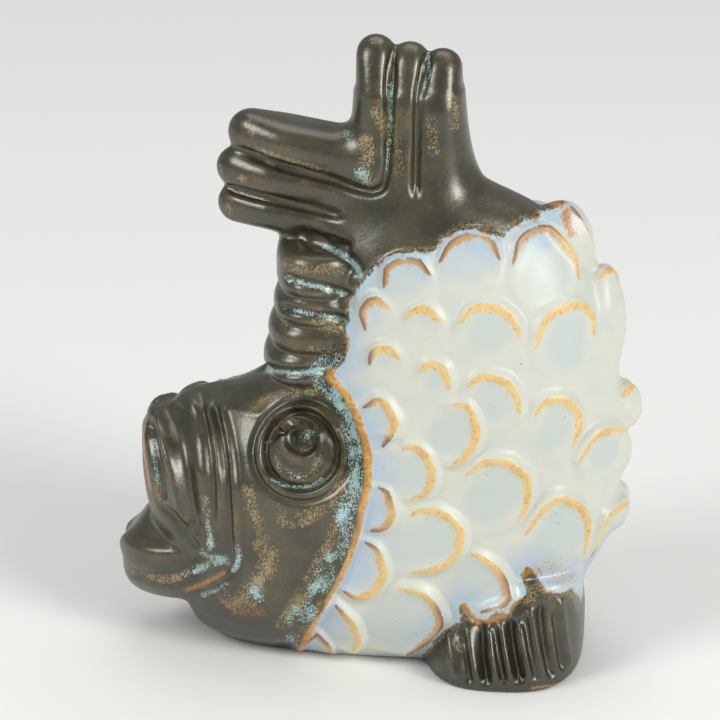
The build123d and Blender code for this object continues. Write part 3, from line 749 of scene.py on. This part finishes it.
def all_scales(points, shapes):
    """Highest scale at each point: height, number, distance inside it and to its free edge."""
    lift = np.zeros(len(points))
    number = np.full(len(points), -1)
    inside, free, ends = (np.full(len(points), v) for v in (-FAR_AWAY, FAR_AWAY, 0.0))
    for k, shape in enumerate(shapes):
        near = np.flatnonzero(np.linalg.norm(points - shape["middle"], axis=1) < shape["reach"] * 1.6)
        height, within, edge, taper = scale_lift(points[near], shape)
        higher = height > lift[near]
        chosen = near[higher]
        lift[chosen], number[chosen] = height[higher], k
        inside[chosen], free[chosen], ends[chosen] = within[higher], edge[higher], taper[higher]
    return lift, number, inside, free, ends


def blurred(grid, reach):
    """Grid after a box blur along each axis."""
    out = grid.astype(np.float32)
    for axis in range(3):
        pad = [(0, 0)] * 3
        pad[axis] = (reach + 1, reach)
        if axis == 1:
            mirrored = np.concatenate([out[:, reach + 1:0:-1], out, np.repeat(out[:, -1:], reach, 1)], 1)
            total = np.cumsum(mirrored, axis=1)
        else:
            total = np.cumsum(np.pad(out, pad, mode="edge"), axis=axis)
        width = 2 * reach + 1
        ahead = np.take(total, np.arange(width, total.shape[axis]), axis=axis)
        behind = np.take(total, np.arange(0, total.shape[axis] - width), axis=axis)
        out = (ahead - behind) / width
    return out


def bend(grid):
    """How the surface bends: above zero on edges, below zero in grooves, per millimetre."""
    out = -6 * grid
    for axis in (0, 2):
        out += np.roll(grid, 1, axis) + np.roll(grid, -1, axis)
    out += np.concatenate([grid[:, 1:2], grid[:, :-1]], 1) + np.concatenate([grid[:, 1:], grid[:, -1:]], 1)
    return out / VOXEL**2


def surface_net(value, low):
    """Vertices and quads of the zero surface of a whole grid."""
    inside = value < 0
    count = np.zeros(tuple(n - 1 for n in value.shape), np.int8)
    corners = [(a, b, c) for a in (0, 1) for b in (0, 1) for c in (0, 1)]
    size = count.shape
    for a, b, c in corners:
        count += inside[a:a + size[0], b:b + size[1], c:c + size[2]]
    cells = np.argwhere((count > 0) & (count < 8))
    index = np.full(size, -1, np.int32)
    index[tuple(cells.T)] = np.arange(len(cells))
    corner_value = {c: value[tuple((cells + c).T)] for c in corners}
    total, hits = np.zeros((len(cells), 3)), np.zeros(len(cells))
    for first in corners:
        for axis in range(3):
            if first[axis]:
                continue
            second = tuple(1 if a == axis else first[a] for a in range(3))
            va, vb = corner_value[first], corner_value[second]
            cut = (va < 0) != (vb < 0)
            t = np.where(cut, va / np.where(cut, va - vb, 1), 0)
            point = np.array(first, float)[None, :] + t[:, None] * (np.array(second) - np.array(first))
            total += np.where(cut[:, None], point, 0)
            hits += cut
    vertices = low + VOXEL * (cells + total / hits[:, None])
    quads = []
    for axis in range(3):
        one = [slice(None)] * 3
        two = [slice(None)] * 3
        one[axis], two[axis] = slice(None, -1), slice(1, None)
        for start in (True, False):
            change = (inside[tuple(one)] == start) & (inside[tuple(two)] != start)
            at = np.argwhere(change)
            b, c = [a for a in range(3) if a != axis]
            at = at[(at[:, b] > 0) & (at[:, c] > 0)]
            at = at[(at[:, b] < size[b]) & (at[:, c] < size[c])]
            ring = []
            for db, dc in ((-1, -1), (0, -1), (0, 0), (-1, 0)):
                cell = at.copy()
                cell[:, b] += db
                cell[:, c] += dc
                ring.append(index[tuple(cell.T)])
            ring = np.stack(ring, 1)
            if start == (axis == 1):
                ring = ring[:, ::-1]
            quads.append(ring)
    quads = np.concatenate(quads)
    return vertices, quads[(quads >= 0).all(1)]


def build_field():
    """The whole figure without its relief."""
    field = Field(*FIGURE_SPAN)
    for add_shape in (add_body, add_head, add_ribs, add_tail, add_rear_edge, add_feet):
        add_shape(field)
    field.value = blurred(blurred(np.clip(field.value, -12, 12), SOFTEN), SOFTEN)
    return field


def carve(field):
    """Adds the relief, and returns what the colours need to know of it."""
    shapes = scale_shapes(field)
    eye = eye_parts(field)
    gill = dense(on_surface(field, dense(GILL_PX, 14)), 1.5)
    top, foot = (on_surface(field, pixels)[:, [0, 2]] for pixels in (TOP_BORDER_PX, FOOT_BORDER_PX))
    border = [GILL_LINE[:1], gill[:, [0, 2]], top, REAR_CORNERS, foot, [FRONT_CORNER]]
    border = np.concatenate([np.array(part) for part in border])
    places, points = near_surface(field)
    points = points - field.value[tuple(places.T)][:, None] * field.normal(points, 1.5)
    points[:, 1] = -np.abs(points[:, 1])
    lift = carve_lines(field, points) + carve_eye(points, *eye)
    height = all_scales(points, shapes)[0]
    # Scales fade out in front of the gill line and up on the tail
    flat = points[:, [0, 2]]
    white = outline_distance(flat, border)
    height = height * smooth_step(-3.0, 0.5, white)
    to_gill = line_distance(points, gill)[0]
    rim = (ridge(to_gill, *GILL_RIDGE) + ridge(to_gill, *GILL_GROOVE)) * (white < 0)
    lift = lift + height + rim
    field.value[tuple(places.T)] -= lift.astype(np.float32)
    spans, x, y, z = field.window(*BASE_SPAN)
    above = field.value[spans]
    field.value[spans] = soft_max(above, np.broadcast_to(-z, above.shape), BASE_ROUND)
    return {"scales": shapes, "eye": eye, "gill": gill, "border": border}


# The lines that part the folds of the muzzle, rear one first, in the side view
FOLD_LINES = [
    [(-49.8, 18.1), (-44.6, 19.4), (-40, 22.3), (-34.9, 28.4), (-33.8, 38.8), (-34.4, 49.2), (-35, 56.1),
     (-36.4, 63.4), (-39, 67.7), (-43, 72)],
    [(-40.1, 20), (-39.6, 34.1), (-38.1, 48.6), (-38.5, 56), (-39.8, 63.1), (-42, 67.1), (-47.4, 70.4)],
    [(-46.6, 20), (-47.6, 36), (-49, 50), (-51.5, 58), (-54.8, 63.9), (-58.8, 66)],
]
PAIRED = (
    "gill_rim", "cheek_fold", "eye_", "foot_ray", "scales_gill", "scales_cheek", "scales_flank",
    "scales_belly", "scales_rear_row",
)


def stroke_mark(field, points, strokes):
    """Strength of painted strokes at points: the stroke's own on its line, half of it at its edge."""
    mark = np.zeros(len(points))
    for pixels, width, strength in strokes:
        line = on_surface(field, dense(pixels, 5))
        half = 0.65 * width * CAMERA_DISTANCE / FOCAL_PX
        low, high = line.min(0) - 3 * half, line.max(0) + 3 * half
        near = np.flatnonzero(np.all((points > low) & (points < high), axis=1))
        gap = line_distance(points[near], line)[0] / half
        mark[near] = np.maximum(mark[near], strength * np.exp(-0.7 * gap**2))
    return mark


def figure_marks(field, points, relief, bend_grid):
    """What the colours and the parting need to know at each point of the surface."""
    near = points.copy()
    near[:, 1] = -np.abs(near[:, 1])
    white = outline_distance(near[:, [0, 2]], relief["border"])
    number, inside, free, ends = all_scales(near, relief["scales"])[1:]
    to_gill = line_distance(near, relief["gill"])[0]
    middles, outward = relief["eye"]
    eye, pupil = (radius_about(near, middle, outward) for middle in (middles[0], middles[3]))
    far = np.linalg.norm(near - middles[0], axis=1) > EYE_REACH
    eye[far], pupil[far] = FAR_AWAY, FAR_AWAY
    signed = np.where(inside > 0, free, -free)
    outer = smooth_step(-0.5, 0.3, signed)
    breaks = {kind: stroke_mark(field, near, strokes) for kind, strokes in STROKES.items()}
    return {
        "white": white, "number": number, "inside": inside,
        "edge": np.clip(signed, -5, 9), "rim": outer * np.clip(1 - signed / (0.7 + 3.4 * ends), 0, 1),
        "plate": np.clip(inside, -4, 9), "by_rim": smooth_step(4.5, 3.0, free),
        "gill": np.where(white < 0, to_gill, -to_gill), "eye": eye, "pupil": pupil, **breaks,
        "bend": np.clip(field.sample(near, bend_grid), -2, 2),
    }


def name_points(field, points, marks, scales):
    """Name of the record's node that each point belongs to, but for its side."""
    places = [np.rint((points[:, 0] - field.x[0]) / VOXEL), np.rint(np.abs(points[:, 1]) / VOXEL),
              np.rint((points[:, 2] - field.z[0]) / VOXEL)]
    places = tuple(np.clip(p.astype(int), 0, n - 1) for p, n in zip(places, field.value.shape))
    names = np.array(OWNERS, dtype=object)[field.owner[places]]
    x, z = points[:, 0], points[:, 2]
    folds = np.isin(names, ["head_shell", "upper_lip"]) & (z > 20)
    names[names == "upper_lip"] = "head_shell"
    for line, name in zip(FOLD_LINES, ("cheek_fold", "muzzle_fold", "upper_lip")):
        names[folds & (x < np.interp(z, [p[1] for p in line], [p[0] for p in line]))] = name
    names[(names == "head_shell") & (marks["white"] < 0) & (marks["gill"] < 2.6)] = "gill_rim"
    names[(names == "head_shell") & (marks["white"] > 0)] = "body_shell"
    eye = (names == "head_shell") & (marks["eye"] < EYE_RADIUS)
    names[eye] = "eye_ring"
    names[eye & (marks["eye"] < EYE_GROOVE_RADIUS)] = "eye_ball"
    names[eye & (marks["pupil"] < EYE_PUPIL_RADIUS + 0.5)] = "eye_pupil"
    names[(names == "body_shell") & (marks["white"] < -0.5) & (z > 90)] = "tail_root"
    skirt = (names == "body_shell") & (marks["white"] < -0.3) & (z < 60) & (x > FOOT_START)
    ray = np.clip((x[skirt] - FOOT_START + FOOT_LEAN * z[skirt]) // FOOT_PITCH, 0, 3).astype(int)
    names[skirt] = np.array(OWNERS, dtype=object)[ray + OWNERS.index("foot_ray_1")]
    rows = np.array([shape["row"] for shape in scales], dtype=object)
    scaled = (names == "body_shell") & (marks["number"] >= 0) & (marks["inside"] > -0.6)
    names[scaled] = rows[marks["number"][scaled]]
    return names


def agree(quads, labels, rounds=4):
    """Gives each face the label that most faces around it have, so that borders run smooth."""
    count = int(quads.max()) + 1
    for _ in range(rounds):
        names, codes = np.unique(labels, return_inverse=True)
        ballots = (quads[codes == k].ravel() for k in range(len(names)))
        votes = np.stack([np.bincount(ballot, minlength=count) for ballot in ballots])
        labels = names[np.argmax(votes[:, quads].sum(2), axis=0)]
    return labels


def sided(label, y):
    """The node's name on one side, for what the figure has twice."""
    if not label.startswith(PAIRED):
        return label
    side = "left" if y < 0 else "right"
    if label.startswith("foot_ray"):
        return label.replace("foot_ray", f"foot_{side}_ray")
    return f"{label}_{side}"


SHADED_MARKS = ("white", "edge", "rim", "plate", "by_rim", "gill", "bend", "tan", "turquoise", "orange")


def make_piece(name, surface, faces, material):
    """A closed piece: its share of the surface, an inner skin and walls along its border."""
    used, flat = np.unique(faces, return_inverse=True)
    outer = flat.reshape(-1, 4)
    count = len(used)
    edges = np.stack([outer, np.roll(outer, -1, axis=1)], -1).reshape(-1, 2).astype(np.int64)
    border = edges[~np.isin(edges[:, 0] * count + edges[:, 1], edges[:, 1] * count + edges[:, 0])]
    walls = np.stack([border[:, 1], border[:, 0], border[:, 0] + count, border[:, 1] + count], 1)
    every = np.concatenate([outer, outer[:, ::-1] + count, walls]).astype(np.int32)
    points, inward = surface["points"][used], surface["inward"][used]
    mesh = bpy.data.meshes.new(f"{name}_glazed")
    mesh.vertices.add(2 * count)
    places = np.concatenate([points, points - SHELL * inward]) * MM
    mesh.vertices.foreach_set("co", places.astype(np.float32).ravel())
    mesh.loops.add(every.size)
    mesh.loops.foreach_set("vertex_index", every.ravel())
    mesh.polygons.add(len(every))
    mesh.polygons.foreach_set("loop_start", np.arange(0, every.size, 4, dtype=np.int32))
    mesh.polygons.foreach_set("use_smooth", np.ones(len(every), bool))
    mesh.update(calc_edges=True)
    for mark in SHADED_MARKS:
        layer = mesh.attributes.new(name=mark, type="FLOAT", domain="POINT")
        layer.data.foreach_set("value", np.tile(surface[mark][used], 2).astype(np.float32))
    directions = np.concatenate([surface["normal"][used], -inward])
    mesh.normals_split_custom_set_from_vertices(directions.tolist())
    mesh.materials.append(material)
    piece = bpy.data.objects.new(f"{name}_glazed", mesh)
    bpy.context.scene.collection.objects.link(piece)
    return piece


class Graph:
    """Short ways to add the nodes of one material."""

    def __init__(self, name):
        self.material = bpy.data.materials.new(name)
        self.material.use_nodes = True
        self.tree = self.material.node_tree
        self.shader = self.tree.nodes["Principled BSDF"]
        place = self.tree.nodes.new("ShaderNodeTexCoord").outputs["Object"]
        scaled = self.tree.nodes.new("ShaderNodeVectorMath")
        scaled.operation = "SCALE"
        scaled.inputs["Scale"].default_value = 1 / MM
        self.tree.links.new(place, scaled.inputs[0])
        self.place = scaled.outputs[0]

    def plug(self, socket, value):
        if isinstance(value, bpy.types.NodeSocket):
            self.tree.links.new(value, socket)
        else:
            socket.default_value = value

    def height(self):
        apart = self.tree.nodes.new("ShaderNodeSeparateXYZ")
        self.tree.links.new(self.place, apart.inputs[0])
        return apart.outputs["Z"]

    def mark(self, name):
        node = self.tree.nodes.new("ShaderNodeAttribute")
        node.attribute_name = name
        return node.outputs["Fac"]

    def math(self, operation, a, b=0.0):
        node = self.tree.nodes.new("ShaderNodeMath")
        node.operation = operation
        self.plug(node.inputs[0], a)
        self.plug(node.inputs[1], b)
        return node.outputs[0]

    def add(self, *values):
        total = values[0]
        for value in values[1:]:
            total = self.math("ADD", total, value)
        return total

    def times(self, *values):
        total = values[0]
        for value in values[1:]:
            total = self.math("MULTIPLY", total, value)
        return total

    def step(self, value, low, high):
        """0 below low and 1 above high, or the other way round where low is the larger."""
        node = self.tree.nodes.new("ShaderNodeMapRange")
        node.interpolation_type = "SMOOTHSTEP"
        swap = low > high
        self.plug(node.inputs["Value"], value)
        node.inputs["From Min"].default_value = min(low, high)
        node.inputs["From Max"].default_value = max(low, high)
        node.inputs["To Min"].default_value = 1.0 if swap else 0.0
        node.inputs["To Max"].default_value = 0.0 if swap else 1.0
        return node.outputs["Result"]

    def band(self, value, middle, half_width):
        """1 at the middle, falling smoothly to 0 at the half-width either side."""
        gap = self.math("ABSOLUTE", self.math("SUBTRACT", value, middle))
        return self.step(gap, half_width, 0.0)

    def broken(self, stroke, patchy, mottle, amount, low, high):
        """A stroke of glaze, broken up by the mottling inside it and clear of it elsewhere."""
        inside = self.times(mottle, self.step(stroke, 0.03, 0.25), amount)
        return self.step(self.add(self.times(stroke, patchy), inside), low, high)

    def noise(self, size, detail=2.0, roughness=0.5, stretch=(1, 1, 1), shift=0.0):
        """Noise about zero, with features of a size in millimetres."""
        mapping = self.tree.nodes.new("ShaderNodeMapping")
        self.tree.links.new(self.place, mapping.inputs["Vector"])
        mapping.inputs["Location"].default_value = (shift, shift * 0.7, -shift)
        mapping.inputs["Scale"].default_value = stretch
        node = self.tree.nodes.new("ShaderNodeTexNoise")
        self.tree.links.new(mapping.outputs[0], node.inputs["Vector"])
        node.inputs["Scale"].default_value = 1 / size
        node.inputs["Detail"].default_value = detail
        node.inputs["Roughness"].default_value = roughness
        return self.math("SUBTRACT", node.outputs["Fac"], 0.5)

    def mix(self, share, a, b):
        node = self.tree.nodes.new("ShaderNodeMix")
        node.data_type = "RGBA"
        self.plug(node.inputs["Factor"], share)
        self.plug(node.inputs["A"], a if isinstance(a, bpy.types.NodeSocket) else (*a, 1))
        self.plug(node.inputs["B"], b if isinstance(b, bpy.types.NodeSocket) else (*b, 1))
        return node.outputs["Result"]

    def bump(self, height, distance, strength=1.0, normal=None):
        node = self.tree.nodes.new("ShaderNodeBump")
        self.plug(node.inputs["Height"], height)
        node.inputs["Distance"].default_value = distance * MM
        node.inputs["Strength"].default_value = strength
        if normal is not None:
            self.tree.links.new(normal, node.inputs["Normal"])
        return node.outputs["Normal"]


# Colours of the glazes, and of the painted shade near the table, as the shader takes them
# Painted shade: near-black laid over the dark glaze towards the bottom, where it meets the table
BOTTOM_SHADE = (0.011, 0.008, 0.005)
BLACK = (0.016, 0.014, 0.007)
OLIVE = (0.052, 0.048, 0.022)
UMBER = (0.056, 0.034, 0.011)
FLECK = (0.19, 0.16, 0.095)
TAN = (0.36, 0.31, 0.17)
OCHRE = (0.33, 0.20, 0.075)
OLIVE_TAN = (0.26, 0.19, 0.095)
TURQUOISE = (0.30, 0.47, 0.41)
WATER_BLUE = (0.40, 0.58, 0.68)
MILK = (0.61, 0.62, 0.54)
PALE_BLUE = (0.50, 0.56, 0.545)
SKY_BLUE = (0.37, 0.48, 0.61)
RIM_GOLD = (0.76, 0.52, 0.20)
RIM_OCHRE = (0.66, 0.38, 0.10)
RUST = (0.45, 0.19, 0.035)
BURNT = (0.13, 0.060, 0.025)


def glaze(name):
    """Dipped glazes: dark satin over the head, tail and feet, and milky blue over the scales, with painted
    shade on the dark glaze towards the bottom.
    """
    g = Graph(name)
    wander, fibre = g.noise(4.0, 2), g.noise(0.9, 4, 0.65)
    grain, speck = g.noise(0.4, 2), g.noise(1.1, 1, shift=31)
    cloud, drift = g.noise(11.0, 3, shift=7), g.noise(6.0, 2, shift=57)
    speckle = g.noise(0.34, 3, 0.6, (1, 1, 0.6), shift=11)
    white, edge, gill, bend = g.mark("white"), g.mark("edge"), g.mark("gill"), g.mark("bend")
    rim_mark, tan, plate, by_rim = g.mark("rim"), g.mark("tan"), g.mark("plate"), g.mark("by_rim")
    turquoise, orange = g.mark("turquoise"), g.mark("orange")
    by_gill = g.step(g.math("ABSOLUTE", gill), 7.0, 3.0)
    unrest = g.add(1.0, g.times(by_gill, -0.75))
    border = g.add(white, g.times(g.add(g.times(wander, 3.0), g.times(fibre, 2.4)), unrest))
    is_white = g.step(border, -0.3, 0.4)

    dark = g.mix(g.step(g.add(cloud, g.times(fibre, 0.4)), -0.25, 0.3), BLACK, OLIVE)
    dark = g.mix(g.times(g.step(drift, -0.05, 0.25), 0.6), dark, UMBER)
    dark = g.mix(g.times(g.step(g.add(speckle, g.times(cloud, 0.4)), 0.04, 0.24), 0.25), dark, FLECK)
    worn = g.times(g.step(bend, 0.15, 0.5), g.step(g.add(fibre, g.times(drift, 1.2)), 0.0, 0.2))
    dark = g.mix(g.times(worn, 0.2), dark, OCHRE)
    # Painted shade: the dark glaze goes near-black from about 26 mm down to 4 mm above the table, with a
    # wavering edge
    dark = g.mix(g.times(g.step(g.add(g.height(), g.times(drift, 15.0)), 26.0, 4.0), 0.8), dark, BOTTOM_SHADE)
    mottle = g.add(g.times(speckle, 4.4), g.times(fibre, 0.9))
    patchy = g.add(0.78, g.times(wander, 3.6))
    dark = g.mix(g.times(g.step(g.add(orange, g.times(mottle, 0.25)), 0.15, 0.75), 0.9), dark, RUST)
    tans = g.mix(g.step(drift, -0.1, 0.2), OCHRE, TAN)
    dark = g.mix(g.times(g.broken(tan, patchy, mottle, 1.1, 0.40, 0.62), 0.85), dark, tans)
    inside = g.times(g.step(gill, 1.6, 2.6), g.step(gill, 7.5, 4.5))
    band = g.add(turquoise, g.times(inside, g.step(g.add(drift, cloud), -0.25, 0.25), 0.55))
    watery = g.mix(g.step(g.add(fibre, g.times(drift, 1.5)), -0.1, 0.35), TURQUOISE, WATER_BLUE)
    dark = g.mix(g.times(g.broken(band, patchy, mottle, 1.1, 0.34, 0.54), 0.92), dark, watery)
    fringe = g.times(g.band(border, -0.6, 0.9), g.step(by_gill, 0.6, 0.2))
    dark = g.mix(g.times(fringe, g.step(g.add(speckle, fibre), -0.1, 0.1), 0.85), dark, OLIVE_TAN)
    lip = g.mix(g.step(g.add(fibre, g.times(drift, 0.8)), -0.15, 0.2), RUST, RIM_OCHRE)
    lip = g.mix(g.times(g.step(speckle, 0.05, 0.2), 0.5), lip, BURNT)
    at_lip = g.step(g.add(gill, g.times(fibre, 0.9)), 2.3, 1.7)
    dark = g.mix(at_lip, dark, lip)

    blue = g.step(g.add(cloud, g.times(drift, 0.5)), -0.1, 0.25)
    pale = g.mix(g.times(blue, 0.4), MILK, PALE_BLUE)
    hollow = g.step(g.add(plate, g.times(wander, 1.5)), 1.2, 5.0)
    pale = g.mix(g.times(hollow, 0.75), pale, PALE_BLUE)
    near_dark = g.step(g.add(white, g.times(drift, 8.0), g.times(cloud, 8.0)), 9.0, 1.0)
    pale = g.mix(g.times(near_dark, 0.7), pale, SKY_BLUE)
    halo = g.times(g.band(edge, -1.6, 2.2), by_rim)
    pale = g.mix(g.times(halo, 0.75), pale, MILK)
    ragged = g.add(g.times(fibre, 0.7), g.times(speckle, 0.5))
    rim = g.step(g.add(rim_mark, ragged), 0.40, 0.60)
    burnt = g.step(g.add(white, g.times(drift, 8.0)), 9.0, 3.0)
    rim_colour = g.mix(g.step(g.add(fibre, drift), -0.1, 0.3), RIM_GOLD, RIM_OCHRE)
    rim_colour = g.mix(g.times(g.step(g.add(speckle, fibre), 0.1, 0.3), 0.7), rim_colour, RUST)
    rim_colour = g.mix(g.times(burnt, 0.75), rim_colour, RUST)
    outer = g.step(g.add(edge, g.times(fibre, 1.5)), 1.3, 0.3)
    rim_colour = g.mix(g.times(burnt, outer, 0.8), rim_colour, BURNT)
    pale = g.mix(g.times(rim, 0.9), pale, rim_colour)
    pale = g.mix(g.times(g.step(g.add(orange, g.times(mottle, 0.4)), 0.3, 0.6), 0.9), pale, RUST)
    pinholes = g.step(speck, 0.29, 0.32)
    pale = g.mix(g.times(pinholes, 0.8), pale, BURNT)
    shore = g.times(g.band(border, 0.5, 0.9), g.step(by_gill, 0.6, 0.2))
    pale = g.mix(g.times(shore, 0.85), pale, WATER_BLUE)

    colour = g.mix(is_white, dark, pale)
    g.plug(g.shader.inputs["Base Color"], colour)
    rough = g.add(g.times(is_white, 0.08), 0.29, g.times(grain, 0.12), g.times(tan, 0.05))
    g.plug(g.shader.inputs["Roughness"], rough)
    g.shader.inputs["IOR"].default_value = 1.5 if name == "white_glaze" else 1.85
    g.shader.inputs["Specular Tint"].default_value = (1.0, 0.99, 0.88, 1.0)
    fine = g.add(g.times(grain, 0.5), g.times(fibre, 0.6), g.times(pinholes, -1.0))
    normal = g.bump(g.times(fine, g.add(1.0, g.times(is_white, -0.7))), 0.12, 0.5)
    g.plug(g.shader.inputs["Normal"], g.bump(g.add(wander, drift), 0.25, 0.35, normal))
    return g.material


def build_figure():
    """The glazed surface with its marks, its faces, the node of each face and where it lies in y."""
    field = build_field()
    relief = carve(field)
    soft = np.clip(field.value, -8, 8)
    bend_grid = bend(blurred(soft, 2))
    deep_grid = blurred(soft, max(int(2.2 / VOXEL), 1))
    both_sides = np.concatenate([field.value[:, ::-1], field.value[:, 1:]], axis=1)
    points, quads = surface_net(both_sides, np.array([field.x[0], field.y[-1], field.z[0]]))
    for _ in range(2):
        step = np.clip(field.sample(points), -VOXEL, VOXEL)[:, None]
        points = points - 0.8 * step * field.normal(points)
    surface = figure_marks(field, points, relief, bend_grid)
    labels = name_points(field, points, surface, relief["scales"])[quads[:, 0]].astype(str)
    labels = agree(quads, labels)
    surface["points"] = points
    surface["normal"] = field.normal(points)
    surface["inward"] = field.normal(points, 1.5, deep_grid)
    middles = points[quads, 1].mean(1)
    return surface, quads, labels, middles


def dress(surface, quads, labels, middles):
    """Makes the pieces, each in place of its node."""
    slots = {part["node"]: part["material_slot"] for part in frame["record"]["subparts"]}
    materials = {slot: glaze(slot) for slot in sorted(set(slots.values()))}
    left_over = set(slots)
    pieces = {}
    for label in sorted(set(labels)):
        for side in (-1, 1):
            name = sided(label, side)
            chosen = (labels == label) & ((middles < 0) == (side < 0) if name != label else True)
            if name in pieces or not chosen.any():
                continue
            pieces[name] = make_piece(name, surface, quads[chosen], materials[slots[name]])
            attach(pieces[name], "root")
            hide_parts(name)
            left_over.discard(name)
    print("nodes with no piece of their own:", sorted(left_over))


# Half the table's side, in metres
TABLE = 6.0
# Lamps: name, place and size in metres, and power in watts
LAMPS = [
    ("left_softbox", (-1.55, -1.15, 1.55), (0.9, 1.1), 24.0),
    ("right_softbox", (1.72, -1.25, 1.2), (0.8, 1.4), 38.0),
    ("top", (0.1, 0.9, 2.5), (2.0, 1.5), 14.0),
]
LAMP_TARGET = (0, 0, 0.08)
# The world's strength on the figure, and where the camera sees it
WORLD_LIGHT = 0.35
WORLD_SEEN = 0.82


def stage_set():
    """Wide pale table."""
    mesh = bpy.data.meshes.new("table")
    corners = [(side * TABLE, end * TABLE, 0) for side, end in ((-1, -1), (1, -1), (1, 1), (-1, 1))]
    mesh.from_pydata(corners, [], [(0, 1, 2, 3)])
    g = Graph("table_paper")
    g.shader.inputs["Base Color"].default_value = (0.88, 0.88, 0.85, 1)
    g.shader.inputs["Roughness"].default_value = 0.7
    g.plug(g.shader.inputs["Normal"], g.bump(g.noise(1.2, 3), 0.05, 0.3))
    mesh.materials.append(g.material)
    table = bpy.data.objects.new("table", mesh)
    bpy.context.scene.collection.objects.link(table)


def light(name, place, size, power):
    data = bpy.data.lights.new(name, "AREA")
    data.shape = "RECTANGLE"
    data.size, data.size_y = size
    data.energy = power
    lamp = bpy.data.objects.new(name, data)
    lamp.location = place
    lamp.rotation_euler = (Vector(LAMP_TARGET) - lamp.location).to_track_quat("-Z", "Y").to_euler()
    bpy.context.scene.collection.objects.link(lamp)


def studio():
    """Soft lamps and a pale world, plain in strength."""
    for lamp in LAMPS:
        light(*lamp)
    world = bpy.data.worlds.new("studio")
    world.use_nodes = True
    tree = world.node_tree
    background = tree.nodes["Background"]
    background.inputs["Color"].default_value = (0.97, 0.98, 1.0, 1)
    seen = tree.nodes.new("ShaderNodeLightPath").outputs["Is Camera Ray"]
    strength = tree.nodes.new("ShaderNodeMapRange")
    tree.links.new(seen, strength.inputs["Value"])
    strength.inputs["To Min"].default_value = WORLD_LIGHT
    strength.inputs["To Max"].default_value = WORLD_SEEN
    tree.links.new(strength.outputs["Result"], background.inputs["Strength"])
    bpy.context.scene.world = world
    bpy.context.scene.view_settings.view_transform = "Standard"


def photo_camera():
    """Camera at the photograph's place and angle."""
    place, _, _, forward = camera_frame()
    data = bpy.data.cameras.new("camera")
    data.sensor_width = SENSOR
    data.lens = FOCAL_PX / PHOTO_SIZE * SENSOR
    camera = bpy.data.objects.new("camera", data)
    camera.location = Vector(place * MM)
    camera.rotation_euler = Vector(forward).to_track_quat("-Z", "Y").to_euler()
    bpy.context.scene.collection.objects.link(camera)
    bpy.context.scene.camera = camera


photo_camera()
dress(*build_figure())
stage_set()
studio()
